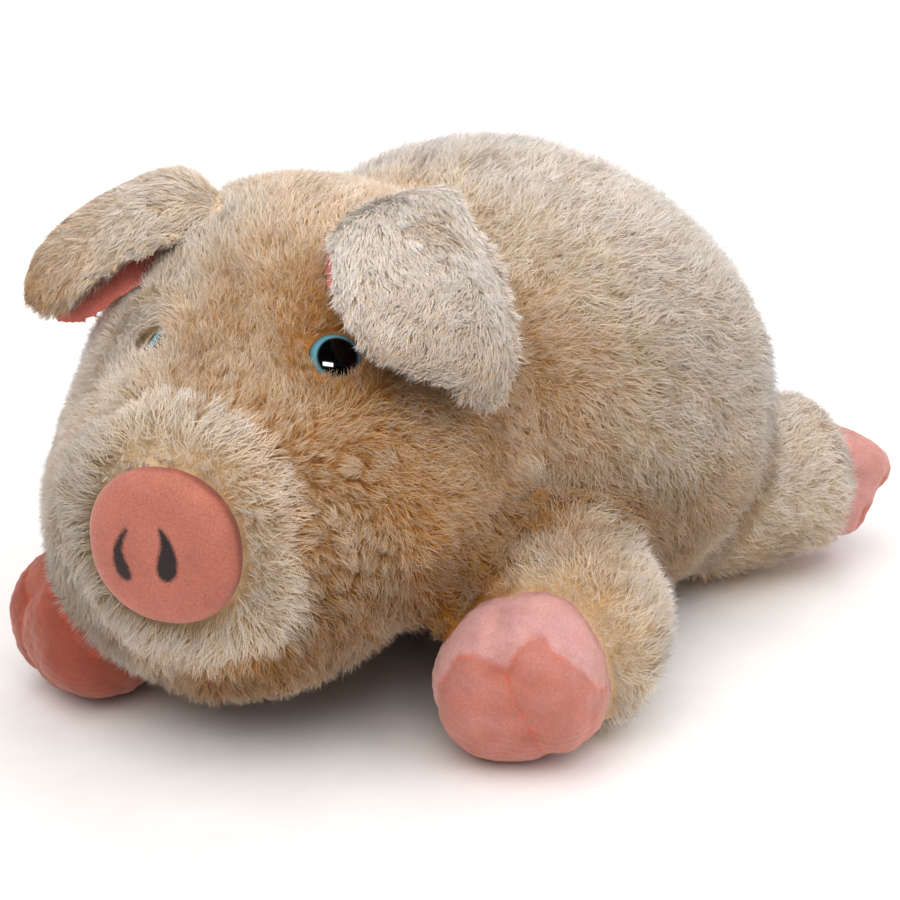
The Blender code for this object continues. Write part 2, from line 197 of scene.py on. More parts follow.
def plush_material(name, rough, fuzz=0.0):
    """Acrylic plush fibre: matt, with a soft sheen; fuzz breaks the backing up into short fibres."""
    material, shader = new_material(name, Roughness=rough, Sheen_Weight=0.25, Sheen_Roughness=0.6,
                                    Specular_IOR_Level=0.15)
    reach = add_node(material, "Attribute", attribute_name="reach")
    panel = add_node(material, "Attribute", attribute_name="panel")
    shade = add_node(material, "Attribute", attribute_name="shade")
    along_strand = (reach, "Fac")
    if fuzz:
        place = add_node(material, "TexCoord")
        fine = add_node(material, "TexNoise", {"Vector": (place, "Object"), "Scale": 1400, "Detail": 4.0,
                                               "Roughness": 0.7, "Distortion": 1.5})
        stir = add_node(material, "MapRange", {"Value": (fine, "Fac"), "From Min": 0.35, "From Max": 0.65,
                                               "To Min": -fuzz, "To Max": fuzz * 1.6})
        both = add_node(material, "Math", {0: (reach, "Fac"), 1: (stir, "Result")}, operation="ADD")
        along_strand = (both, 0)
    golden, cream, ivory = (ramp(material, along_strand, list(zip((0.0, 0.4, 0.75, 1.0), dye)))
                            for dye in DYES.values())
    warm = add_node(material, "Mix", {"Factor": (panel, "Fac"), "A": (golden, "Color"),
                                      "B": (cream, "Color")}, data_type="RGBA")
    beyond = add_node(material, "MapRange", {"Value": (panel, "Fac"), "From Min": 1.0, "From Max": 2.0})
    dyed = add_node(material, "Mix", {"Factor": (beyond, "Result"), "A": (warm, 2), "B": (ivory, "Color")},
                    data_type="RGBA")
    # below 0 the cloth scale turns deeper and redder: painted shade for folds and hollows
    deep = add_node(material, "MapRange", {"Value": (panel, "Fac"), "From Min": -1.0, "From Max": 0.0,
                                           "To Min": 1.55, "To Max": 1.0})
    redder = add_node(material, "MapRange", {"Value": (panel, "Fac"), "From Min": -1.0, "From Max": 0.0,
                                             "To Min": 0.487, "To Max": 0.5})
    tinted = add_node(material, "HueSaturation", {"Color": (dyed, 2), "Saturation": (deep, "Result"),
                                                  "Hue": (redder, "Result"), "Value": (shade, "Fac")})
    wire(material, tinted, "Color", shader, "Base Color")
    return material


fibre = plush_material("acrylic_plush_fibre", 0.85)
print("plush ready")

# %% [markdown]
# ## Velour
# Velour is knitted cloth sheared to a pile of well under a millimetre. It looks matt from
# the front and pale at the edges, which is sheen. A fine grain breaks the colour up, a
# broader mottle shows where fingers have brushed the pile, and the bump is the pile itself.

# %% Velour material
def velour_material(name, deep, light, sheen=0.55):
    """Short sheared pile; the number on the mesh runs from the deep dye of seams (0) to the lit pile (1),
    and also carries painted light and shade.
    """
    material, shader = new_material(name, Roughness=0.92, Sheen_Weight=sheen, Sheen_Roughness=0.45,
                                    Specular_IOR_Level=0.12)
    shader.inputs["Sheen Tint"].default_value = hue("#ffd9cf")
    place = add_node(material, "TexCoord")
    wear = add_node(material, "Attribute", attribute_name="wear")
    grain = add_node(material, "TexNoise", {"Vector": (place, "Object"), "Scale": 1500, "Detail": 3.0,
                                            "Roughness": 0.7})
    brushed = add_node(material, "TexNoise", {"Vector": (place, "Object"), "Scale": 110, "Detail": 3.0,
                                              "Roughness": 0.55})
    base = ramp(material, (wear, "Fac"), [(0.0, "#8c3a26"), (0.35, deep), (1.0, light)])
    mottle = add_node(material, "MapRange", {"Value": (brushed, "Fac"), "From Min": 0.3, "From Max": 0.7,
                                             "To Min": 0.90, "To Max": 1.08})
    speck = add_node(material, "MapRange", {"Value": (grain, "Fac"), "From Min": 0.3, "From Max": 0.7,
                                            "To Min": 0.86, "To Max": 1.14})
    both = add_node(material, "Math", {0: (mottle, "Result"), 1: (speck, "Result")}, operation="MULTIPLY")
    thread = add_node(material, "Attribute", attribute_name="thread")
    sewn = add_node(material, "Mix", {"Factor": (thread, "Fac"), "A": (base, "Color"), "B": hue("#d75a40")},
                    data_type="RGBA")
    toned = add_node(material, "HueSaturation", {"Color": (sewn, 2), "Value": (both, 0)})
    wrinkle = add_node(material, "TexNoise", {"Vector": (place, "Object"), "Scale": 420, "Detail": 2.0,
                                              "Distortion": 1.2})
    folds = add_node(material, "Bump", {"Height": (wrinkle, "Fac"), "Strength": 0.35, "Distance": 0.0005})
    bump = add_node(material, "Bump", {"Height": (grain, "Fac"), "Strength": 0.4, "Distance": 0.0003,
                                       "Normal": (folds, "Normal")})
    wire(material, bump, "Normal", shader, "Normal")
    return material, shader, toned


velour, velour_shader, velour_colour = velour_material("salmon_velour_pile", "#bb7464", "#d09c97")
wire(velour, velour_colour, "Color", velour_shader, "Base Color")
print("velour ready")

# %% [markdown]
# ## Tools for soft pieces
# Each soft piece starts from the solid that holds its place, or from a form with the same
# sizes. Its mesh is made even by a voxel remesh, like clay pressed into small equal cells,
# because cloth simulation and carving both need even cells.

# %% Tools: pieces, remeshing, shrinking
def link(name, mesh, *materials):
    """An object at the origin that holds the mesh."""
    thing = bpy.data.objects.new(name, mesh)
    bpy.context.scene.collection.objects.link(thing)
    for material in materials:
        mesh.materials.append(material)
    return thing


def piece_from(name, bm, *materials):
    """Turn a bmesh into an object with smooth shading."""
    mesh = bpy.data.meshes.new(name)
    bm.to_mesh(mesh)
    bm.free()
    mesh.shade_smooth()
    return link(name, mesh, *materials)


def bake_modifier(thing, kind, **settings):
    """Add one modifier and keep what it makes."""
    modifier = thing.modifiers.new(kind.lower(), kind)
    for key, value in settings.items():
        setattr(modifier, key, value)
    view = bpy.context.evaluated_depsgraph_get()
    made = bpy.data.meshes.new_from_object(thing.evaluated_get(view))
    thing.modifiers.clear()
    old, thing.data = thing.data, made
    bpy.data.meshes.remove(old)
    made.shade_smooth()
    return thing


def merged_copy(name, *nodes):
    """A joined copy of measured solids with their loose triangles welded."""
    bm = bmesh.new()
    for node in nodes:
        bm.from_mesh(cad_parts[node].data)
    bmesh.ops.remove_doubles(bm, verts=bm.verts, dist=0.00002)
    return piece_from(name, bm)


def places(thing):
    """All vertex places and normals as arrays."""
    count = len(thing.data.vertices)
    where, facing = np.empty(count * 3), np.empty(count * 3)
    thing.data.vertices.foreach_get("co", where)
    thing.data.vertices.foreach_get("normal", facing)
    return where.reshape(-1, 3), facing.reshape(-1, 3)


def move_to(thing, where):
    """Write vertex places back."""
    thing.data.vertices.foreach_set("co", np.ascontiguousarray(where, dtype=np.float32).ravel())
    thing.data.update()


def relax(thing, times, factor=0.5):
    """Even out small bumps."""
    bm = bmesh.new()
    bm.from_mesh(thing.data)
    for _ in range(times):
        bmesh.ops.smooth_vert(bm, verts=bm.verts, factor=factor, use_axis_x=True, use_axis_y=True,
                              use_axis_z=True)
    bm.to_mesh(thing.data)
    bm.free()
    thing.data.update()


def keep_largest(thing):
    """Drop loose scraps, keeping the surface with the most vertices."""
    bm = bmesh.new()
    bm.from_mesh(thing.data)
    unseen, groups = set(bm.verts), []
    while unseen:
        group, edge = set(), [unseen.pop()]
        while edge:
            vertex = edge.pop()
            group.add(vertex)
            for nearby in (e.other_vert(vertex) for e in vertex.link_edges):
                if nearby in unseen:
                    unseen.discard(nearby)
                    edge.append(nearby)
        groups.append(group)
    groups.sort(key=len)
    bmesh.ops.delete(bm, geom=[v for group in groups[:-1] for v in group], context="VERTS")
    bm.to_mesh(thing.data)
    bm.free()


def sink(thing, depth, steps=4):
    """Move the surface inwards by depth, a number or a function of the places, in small steps."""
    first, _ = places(thing)
    goal = depth(first) if callable(depth) else np.full(len(first), depth)
    for _ in range(steps):
        where, facing = places(thing)
        move_to(thing, where - facing * (goal / steps)[:, None])
        relax(thing, 1, 0.35)


def paint(thing, name, values):
    """Store one number per vertex under a name that the materials read."""
    layer = thing.data.attributes.get(name) or thing.data.attributes.new(name, "FLOAT", "POINT")
    layer.data.foreach_set("value", np.ascontiguousarray(values, dtype=np.float32))


def tree_of(thing):
    """A search tree over an object's faces."""
    mesh = thing.data
    return BVHTree.FromPolygons([v.co for v in mesh.vertices], [p.vertices for p in mesh.polygons])


def near(points, thing, margin):
    """A search tree of a piece, and the indexes of the points in its box widened by the margin."""
    where, _ = places(thing)
    low, high = where.min(axis=0) - margin, where.max(axis=0) + margin
    return tree_of(thing), np.flatnonzero(np.all((points > low) & (points < high), axis=1))


def ease(value, low, high):
    """0 below low, 1 above high, smooth between."""
    t = np.clip((np.asarray(value, float) - low) / (high - low), 0, 1)
    return t * t * (3 - 2 * t)


def unit(vectors):
    """Each row scaled to length 1."""
    return vectors / np.maximum(np.linalg.norm(vectors, axis=1, keepdims=True), 1e-9)


def local(matrix, where):
    """Toy places as places in a piece's own frame."""
    turned = np.array(matrix.to_3x3())
    return (where - np.array(matrix.translation)) @ turned


def drift(where, scale, seed):
    """A smooth random number between about -1 and 1 that changes over the given length."""
    draw = np.random.default_rng(seed)
    total = np.zeros(len(where))
    for _ in range(6):
        wave = draw.normal(size=3)
        wave *= 2 * math.pi / scale * draw.uniform(0.6, 1.3) / np.linalg.norm(wave)
        total += np.sin(where @ wave + draw.uniform(0, 2 * math.pi))
    return total / 2.6


# %% [markdown]
# ## Stuffing
# A padded piece is a cloth skin pushed out by its filling. Blender's cloth does this with
# pressure: the piece starts a little small, swells for twenty frames without gravity, and
# no point may move further than a cap, so the piece stays in the space of its solid.

# %% Tool: fill a piece like a cushion
def stuff(thing, pressure, cap, mass=0.02):
    """Swell a closed skin with cloth pressure and keep the shape."""
    before, _ = places(thing)
    cloth = thing.modifiers.new("stuffing", "CLOTH")
    cloth.settings.mass = mass
    cloth.settings.use_pressure = True
    cloth.settings.uniform_pressure_force = pressure
    cloth.settings.tension_stiffness = cloth.settings.compression_stiffness = 12
    cloth.settings.bending_stiffness = 0.6
    cloth.settings.effector_weights.gravity = 0
    cloth.collision_settings.use_collision = False
    scene = bpy.context.scene
    for number in range(1, 21):
        scene.frame_set(number)
    swollen = thing.evaluated_get(bpy.context.evaluated_depsgraph_get()).data
    after = np.empty(len(before) * 3)
    swollen.vertices.foreach_get("co", after)
    change = after.reshape(-1, 3) - before
    size = np.linalg.norm(change, axis=1, keepdims=True)
    thing.modifiers.clear()
    scene.frame_set(1)
    move_to(thing, before + change * np.minimum(1, cap / np.maximum(size, 1e-9)))
    print(thing.name, "swelled mm", [round(float(v) / MM, 2) for v in (size.mean(), size.max())])
    return thing


# %% [markdown]
# ## The feet
# Each foot is a velour mitt with two toes: a sole panel and an upper panel meet in a seam
# that arches over each toe, and a seam runs down the cleft between them. The two toes are
# balls squared off a little, pressed together, stuffed, and then pulled in along the seams.

# %% Foot: two toes from squared balls, remeshed into one and stuffed
# the seam round the sole seen from the toes (across, up), and the seam down the cleft (across,
# ahead, up), in foot sizes
ARCH = [(-1.0, -0.3), (-0.75, 0.28), (-0.53, 0.52), (-0.42, 0.59), (-0.24, 0.614), (-0.08, 0.55),
        (0.06, 0.48), (0.12, 0.446), (0.20, 0.50), (0.275, 0.575), (0.36, 0.65), (0.44, 0.69),
        (0.53, 0.68), (0.60, 0.63), (0.665, 0.50), (0.80, 0.34), (0.90, 0.14), (0.94, -0.12), (1.0, -0.4)]
CLEFT = [(0.119, 0.805, 0.446), (0.138, 0.876, 0.24), (0.18, 0.906, 0.069), (0.224, 0.901, -0.182),
         (0.251, 0.826, -0.435), (0.22, 0.62, -0.708), (0.2, 0.3, -0.9)]


def squared(value, power):
    """A circle's cosine or sine pushed out towards a square."""
    return np.sign(value) * np.abs(value) ** (2 / power)


INNER_LOW = 0.20                                    # the inner toe is this much lower on top
TOE_TALL, WEB_TOP, WEB_LOW = 0.93, 0.87, 0.98       # heights of the toes and of the web, in foot sizes
TOE_LONG, TOE_SPLAY = 0.92, 0.12                    # how far a toe reaches ahead, and turns outwards


def build_foot(name, matrix, size, spread):
    """Two toes and their web, pressed into one skin and stuffed."""
    inwards = -1 if "right" in name else 1
    bm = bmesh.new()
    for hand in (-1, 0, 1):                         # the two toes, and the web that fills the cleft
        ball = bmesh.ops.create_icosphere(bm, subdivisions=5, radius=1.0)["verts"]
        for vertex in ball:
            x, y, z = vertex.co
            ring = math.hypot(x, z) or 1e-6
            swell = ring ** 0.85
            cx, cz = float(squared(x / ring, 2.2)), float(squared(z / ring, 2.2))
            wide = (0.99 - spread) * cx * swell
            tall = (TOE_TALL if hand else WEB_TOP if cz > 0 else WEB_LOW) * cz * swell
            across = hand * spread + wide + TOE_SPLAY * hand * TOE_LONG * y
            inner = float(ease(-across * inwards, 0.0, 0.85))
            tall = tall * (1 - INNER_LOW * inner) if tall > 0 else tall
            vertex.co = Vector((across, TOE_LONG * y - TOE_SPLAY * hand * wide, tall)) * size
            vertex.co = matrix @ vertex.co
            vertex.co.z = max(0.0, vertex.co.z)
    foot = piece_from(name, bm, velour)
    bake_modifier(foot, "REMESH", mode="VOXEL", voxel_size=0.0017)
    sink(foot, 0.0006, 1)
    stuff(foot, 60, 0.0018)
    fine = 2 if name.startswith("forefoot_left") else 1
    bake_modifier(foot, "SUBSURF", levels=fine, render_levels=fine)
    return foot


feet = {name: build_foot(name + "_velour", *shape) for name, shape in FEET.items()}
print({name: len(foot.data.polygons) for name, foot in feet.items()})


# %% Foot seams: pull the cloth in along each seam and colour the panels
def along(line, points):
    """Distance from each point to a line of joined points."""
    best = np.full(len(points), 1e9)
    for a, b in zip(line[:-1], line[1:]):
        a, b = np.array(a, float), np.array(b, float)
        t = np.clip((points - a) @ (b - a) / ((b - a) @ (b - a)), 0, 1)
        best = np.minimum(best, np.linalg.norm(points - a - t[:, None] * (b - a), axis=1))
    return best


def hump(gap, wide):
    """1 on a line, falling off to nothing a few widths away."""
    return np.exp(-(gap / wide) ** 2)


SEAM_WIDE, SOLE_DIP, CLEFT_DIP = 0.0006, 0.0030, 0.0034     # widths of a seam and of the dips beside it
# how far up the velour's scale a foot lies, as painted light and shade: the far one, in the head's shadow,
# is the deepest, the near one the palest
FOOT_PAINTED_LIGHT = {"forefoot_right_velour": 0.2, "forefoot_left_velour": 1.0}


def sew_foot(foot, matrix, size, mirrored):
    """Pull the cloth in along the seams, colour sole and upper, and draw the thread."""
    where, facing = places(foot)
    spot = local(matrix, where) / size
    if mirrored:
        spot[:, 0] *= -1
    ahead = spot[:, 1] > 0.05
    arch = np.where(ahead, along([(x, z) for x, z in ARCH], spot[:, [0, 2]]), 9) * size
    cleft = np.where(ahead, along(CLEFT, spot), 9) * size
    fade = 0.55 + 0.45 * drift(where, 0.012, 21)
    seam = hump(arch, SEAM_WIDE) * 0.8 * np.clip(fade, 0.15, 1) + hump(cleft, SEAM_WIDE) * 0.8
    valley = hump(cleft, CLEFT_DIP) * 0.0007 + hump(arch, SOLE_DIP) * 0.0003
    crease = 0.0002 * drift(where, 0.009, 22) + 0.00012 * drift(where * (0.5, 0.5, 1), 0.0025, 23)
    move_to(foot, where - facing * (seam * 0.0004 + valley + crease)[:, None])
    rise = np.interp(spot[:, 0], [x for x, _ in ARCH], [z for _, z in ARCH])
    upper = np.where(ahead, ease(spot[:, 2] - rise, -0.04, 0.06), 1.0)
    # the upper is paler than the sole, partly by its dye and partly as painted light from above, and
    # painted shade darkens the cleft
    wear = 0.45 + 0.5 * upper + 0.06 * drift(where, 0.01, 24) - 0.1 * hump(cleft, 0.006)
    paint(foot, "wear", wear * FOOT_PAINTED_LIGHT.get(foot.name, 0.8))
    paint(foot, "thread", 0.75 * np.clip(seam, 0, 1) * np.clip(0.6 + 0.7 * drift(where, 0.005, 25), 0.1, 1))


for name, (matrix, size, spread) in FEET.items():
    sew_foot(feet[name], matrix, size, name.endswith("right"))
    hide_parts(name)
    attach(feet[name], "root")
print("feet sewn")

# %% [markdown]
# ## The nose
# A velour disc stuffed from behind and sewn to the muzzle round its rim. Its front is nearly
# flat and rolls over to the rim. The nostrils are two sprayed commas with soft edges, so
# they are painted as a number on a fine mesh, and the material breaks that edge up.

# %% Nose form
NOSE_HALF_WIDTH, NOSE_HALF_HEIGHT, NOSE_BULGE, NOSE_ROOT = 23.2 * MM, 23.2 * MM, 7.6 * MM, 9.0 * MM
NOSE_DROP, NOSE_ASIDE = 2.1 * MM, 0.4 * MM
# millimetres sideways and up from the middle of the nose, and the radius there
NOSTRILS = [[(-8.0, 4.8, 0.5), (-9.8, 2.0, 0.9), (-11.1, -1.2, 1.4), (-11.0, -4.7, 2.0), (-10.1, -7.4, 2.3),
             (-9.3, -8.8, 1.8)],
            [(3.0, 6.2, 0.5), (4.2, 3.5, 1.4), (4.8, 0.5, 2.1), (4.5, -2.7, 2.9), (4.0, -5.4, 3.1),
             (3.5, -6.8, 2.4)]]
bm = bmesh.new()
for vertex in bmesh.ops.create_icosphere(bm, subdivisions=5, radius=1.0)["verts"]:
    x, y, z = vertex.co
    ring = math.hypot(x, z) or 1e-6
    swell = ring ** 0.5
    corner = 1 + 0.035 * max(0, 2 * x * z / ring ** 2) + 0.02 * max(0, -2 * x * z / ring ** 2)
    depth = NOSE_BULGE if y < 0 else NOSE_ROOT
    vertex.co = FACE @ Vector((x / ring * swell * NOSE_HALF_WIDTH * corner - NOSE_ASIDE, y * depth - 0.0004,
                               z / ring * swell * NOSE_HALF_HEIGHT * corner - NOSE_DROP))
nose = piece_from("nose_velour", bm)
bake_modifier(nose, "REMESH", mode="VOXEL", voxel_size=0.0012)
relax(nose, 2)
stuff(nose, 60, 0.0012)
bake_modifier(nose, "SUBSURF", levels=1, render_levels=1)

# %% Nostril paint and the rim seam
where, _ = places(nose)
spot = local(FACE, where) / MM
spray = np.zeros(len(spot))
for comma in NOSTRILS:
    for (x0, z0, r0), (x1, z1, r1) in zip(comma[:-1], comma[1:]):
        step = np.array((x1 - x0, z1 - z0))
        t = np.clip(((spot[:, [0, 2]] - (x0, z0)) @ step) / (step @ step), 0, 1)
        gap = np.linalg.norm(spot[:, [0, 2]] - (x0, z0) - t[:, None] * step, axis=1)
        radius = r0 + (r1 - r0) * t
        spray = np.maximum(spray, 1 - ease(gap, radius - 1.1, radius + 1.0))
spray *= spot[:, 1] < -3
paint(nose, "spray", spray)
rim = ease(spot[:, 1], -2.4, 0.5)
# darker round the rim, and lighter towards the top as painted light from above
paint(nose, "wear", 0.62 - 0.45 * rim + 0.12 * ease(spot[:, 2], -10, 18))
nose_velour, nose_shader, nose_colour = velour_material("nose_velour_with_sprayed_nostrils",
                                                        "#af6352", "#cb8170")
spray_at = add_node(nose_velour, "Attribute", attribute_name="spray")
nose_place = add_node(nose_velour, "TexCoord")
fleck = add_node(nose_velour, "TexNoise", {"Vector": (nose_place, "Object"), "Scale": 1900, "Detail": 2.0})
rough_edge = add_node(nose_velour, "Math", {0: (spray_at, "Fac"), 1: (fleck, "Fac")}, operation="ADD")
cover = add_node(nose_velour, "MapRange", {"Value": (rough_edge, 0), "From Min": 0.5, "From Max": 1.3})
painted = add_node(nose_velour, "Mix", {"Factor": (cover, "Result"), "A": (nose_colour, "Color"),
                                        "B": hue("#2a2426")}, data_type="RGBA")
wire(nose_velour, painted, 2, nose_shader, "Base Color")
nose.data.materials.append(nose_velour)
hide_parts("nose")
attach(nose, "root")
print("nose polygons", len(nose.data.polygons))

# %% [markdown]
# ## The eyes
# A plastic safety eye is a clear dome over a coloured disc: a black pupil in a teal ring,
# darker at the rim. One closed dome is enough, spun from a profile, with the distance from
# its middle stored on the mesh for the colours, and a clear coat for the gloss.

# %% Eye material and form
eye_plastic, eye_shader = new_material("glossy_eye_plastic", Roughness=0.08, Specular_IOR_Level=0.3,
                                       Coat_Weight=0.6, Coat_Roughness=0.02)
from_middle = add_node(eye_plastic, "Attribute", attribute_name="from_middle")
iris = ramp(eye_plastic, (from_middle, "Fac"), [(0.0, "#050506"), (0.66, "#060708"), (0.70, "#2c4a52"),
                                                (0.76, "#6fa9b8"), (0.88, "#5c9bac"), (0.95, "#3f6a76"),
                                                (1.0, "#1c2a2e")])
wire(eye_plastic, iris, "Color", eye_shader, "Base Color")
EYE_RADIUS = 8.3 * MM
# for the left eye (1) and the right one (-1): how far the shank pulls it into the pile, and where it looks
EYE_SUNK = {1: 2.0 * MM, -1: 7.0 * MM}
EYE_FACING = {1: (0.49, -0.62, 0.60), -1: (-0.86, -0.14, 0.49)}


def eye_seat(hand):
    """Where an eye is sewn on, in the face's frame."""
    return Vector((31.8 * hand, 49.75, 39.2)) * MM


def build_eye(name, hand):
    """Spin one closed dome from its profile and set it in its seat."""
    bm = bmesh.new()
    rings = [(math.sin(a), math.cos(a) * (0.62 if a < math.pi / 2 else 0.5))
             for a in (math.pi * k / 28 for k in range(29))]
    profile = [bm.verts.new((r * EYE_RADIUS, 0, h * EYE_RADIUS)) for r, h in rings]
    edges = [bm.edges.new(pair) for pair in zip(profile[:-1], profile[1:])]
    bmesh.ops.spin(bm, geom=profile + edges, axis=(0, 0, 1), cent=(0, 0, 0), angle=2 * math.pi, steps=56,
                   use_merge=True)
    bmesh.ops.remove_doubles(bm, verts=bm.verts, dist=1e-6)
    bmesh.ops.recalc_face_normals(bm, faces=bm.faces)
    facing = Vector(EYE_FACING[hand]).normalized()
    across = facing.cross(Vector((0, 0, 1))).normalized()
    seat = placing(eye_seat(hand) - facing * EYE_SUNK[hand], across, facing.cross(across), facing)
    eye = piece_from(name, bm, eye_plastic)
    where, _ = places(eye)
    behind = where[:, 2] < -1e-5
    paint(eye, "from_middle", np.linalg.norm(where[:, :2], axis=1) / EYE_RADIUS + 10 * behind)
    eye.data.transform(FACE @ seat)
    return eye


eyes = {side: build_eye("eye_dome_" + side, hand) for side, hand in (("left", 1), ("right", -1))}
for side, eye in eyes.items():
    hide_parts("eye_" + side)
    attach(eye, "root")
EYES_AT = np.array([FACE @ eye_seat(hand) for hand in (1, -1)])
print("eyes at", EYES_AT.round(4).tolist())

# %% [markdown]
# ## The skin under the pile
# The body, head and legs are cut from one cloth, so one skin stands for them: copies of the
# solids, grown a hair so that they overlap, pressed into one shell of even cells, and then
# sunk by the depth of the pile. The pile is short round the eyes and longest on the body.

# %% Skin: one shell, sunk by the pile's depth
FLESH = ["torso", "head", "foreleg_left", "foreleg_right", "hindleg_left", "hindleg_right"]
FILLERS = ["nose", "eye_left", "eye_right", *FEET]
skin = merged_copy("plush_skin", *FLESH, *FILLERS)
sink(skin, -0.0005, 1)
bake_modifier(skin, "REMESH", mode="VOXEL", voxel_size=0.0042)
keep_largest(skin)


def near_eyes(where):
    """Distance to the nearer eye."""
    return np.min([np.linalg.norm(where - eye, axis=1) for eye in EYES_AT], axis=0)


BODY_DEEP, HEAD_DEEP, EYES_DEEP = 5.8, 5.4, 4.6       # how deep the skin lies under the tips, in mm


def pile_depth(where):
    """How deep the skin lies under the tips of the pile; less where it is pressed to the floor."""
    face = local(FACE, where) / MM
    on_head = 1 - ease(face[:, 1], 75, 125)
    depth = BODY_DEEP * (1 - on_head) + HEAD_DEEP * on_head
    low = 1 - ease(where[:, 2], 0.0, 0.012)
    depth = depth * (1 - 0.35 * low)
    return (EYES_DEEP + (depth - EYES_DEEP) * ease(near_eyes(where), 0.010, 0.026)) * MM


sink(skin, pile_depth, 6)
stuff(skin, 5, 0.0008)
bake_modifier(skin, "SUBSURF", levels=1, render_levels=1)
keep_largest(skin)


def tuck(skin, things, within, under):
    """Where the skin laps over a sewn-on piece, draw its edge in under that piece."""
    where, _ = places(skin)
    for thing in things:
        tree, close_by = near(where, thing, within)
        for index in close_by:
            spot, normal, _, gap = tree.find_nearest(where[index])
            if gap < within and (Vector(where[index]) - spot).dot(normal) > 0:
                where[index] = spot - normal * under
    move_to(skin, where)


tuck(skin, [*feet.values(), nose], 0.0014, 0.0008)
print("skin polygons", len(skin.data.polygons))

# %% [markdown]
# ## Which cloth, and its painted light and shade
# The toy is golden on its face, cream on its muzzle, ears and legs, and ivory on its rump.
# Painted shade makes its shoulders, folds and hollows, the underside of its head and the cheek
# under the near ear darker and a deeper golden, and painted light makes the top of its back,
# the far side of its head and a spot on its neck paler.
# The same few functions colour the skin and later the strands, so the two always agree.

# %% Which part of the toy each point of the skin belongs to
part_trees = {name: tree_of(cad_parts[name]) for name in FLESH}
TORSO, HEAD, FORELEGS, HINDLEGS = 0, 1, (2, 3), (4, 5)      # places in FLESH


def part_of(where):
    """Index into FLESH of the nearest solid, for each place."""
    best = np.full(len(where), 1e9)
    owner = np.zeros(len(where), int)
    for index, name in enumerate(FLESH):
        found = [part_trees[name].find_nearest(p) for p in where]
        gap = np.array([hit[3] if hit[3] is not None else 1e9 for hit in found])
        owner[gap < best], best = index, np.minimum(gap, best)
    return owner


print("parts of the plush", len(part_trees))

# %% Hollows that fingers left in the pile: where, and how wide (m)
PARTINGS = [(Vector((76.6, 15.2, 101.0)) * MM, 0.009), (on_face(14.1, 7.1, 29.6), 0.006),
            (on_face(5.5, 64.7, 65.5), 0.007), (Vector((30.1, -42.8, 149.8)) * MM, 0.014),
            (Vector((86.0, 60.0, 62.0)) * MM, 0.008)]


def parted(where):
    """1 in the middle of a hollow in the pile, 0 away from it."""
    amount = np.zeros(len(where))
    for middle, wide in PARTINGS:
        gap = np.linalg.norm(where - np.array(middle), axis=1) * (1 + 0.25 * drift(where, 0.008, 41))
        amount = np.maximum(amount, 1 - ease(gap, 0.2 * wide, wide))
    return amount


print("hollows", len(PARTINGS))

# %% Places of painted shade and painted light, each 1 right there and 0 a finger away
near_ear_tree = tree_of(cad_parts["ear_left"])
# where a spot of painted light lies on the neck
NECK_LIGHT_AT = np.array(on_face(78, 86, 6))


def under_ear_shade(where):
    """The cheek beside the near ear, given painted shade for the ear's shadow."""
    return 1 - ease([near_ear_tree.find_nearest(p)[3] for p in where], 0.002, 0.013)


def neck_light_spot(where):
    """A spot of painted light on the neck, by the tip of the near ear."""
    return 1 - ease(np.linalg.norm(where - NECK_LIGHT_AT, axis=1), 0.003, 0.018)


def shade_round_eye(where):
    """Painted shade round the near eye, under the edge of the near ear."""
    return 1 - ease(np.linalg.norm(where - EYES_AT[0], axis=1), 0.011, 0.024)


def low_rump_shade(where):
    """The rump where it turns in to the floor, given painted shade."""
    return (1 - ease(where[:, 2], 0.045, 0.085)) * ease(where[:, 1], 0.005, 0.04)


def shoulder_shade(where):
    """The flank where it meets the foreleg and the floor, given painted shade."""
    return (1 - ease(where[:, 1], 0.0, 0.045)) * (1 - ease(where[:, 2], 0.052, 0.078))


def foreleg_shade(where, behind, inside):
    """Painted shade on a foreleg behind, where the shoulder hangs over it, and inside, each with its own
    weight.
    """
    height = where[:, 2]
    back_top = ease(height, 0.042, 0.056) * ease(where[:, 1] + 0.9 * (0.06 - height), -0.044, -0.028)
    return np.maximum(behind * back_top, inside * (1 - ease(np.abs(where[:, 0]), 0.056, 0.075)))


print("neck tuft at", NECK_LIGHT_AT.round(3).tolist())


# %% The two scales: which cloth, and how light
def on_muzzle(face, stir=0.0):
    """1 on the pale muzzle, 0 off it; it reaches further to the toy's right and down than to its top."""
    reach = 8 * ease(-face[:, 0], 0, 20) + 5 * ease(-face[:, 2], 5, 25)
    return 1 - ease(np.linalg.norm(face - (0, -4, 0), axis=1) + stir - reach, 35, 42)


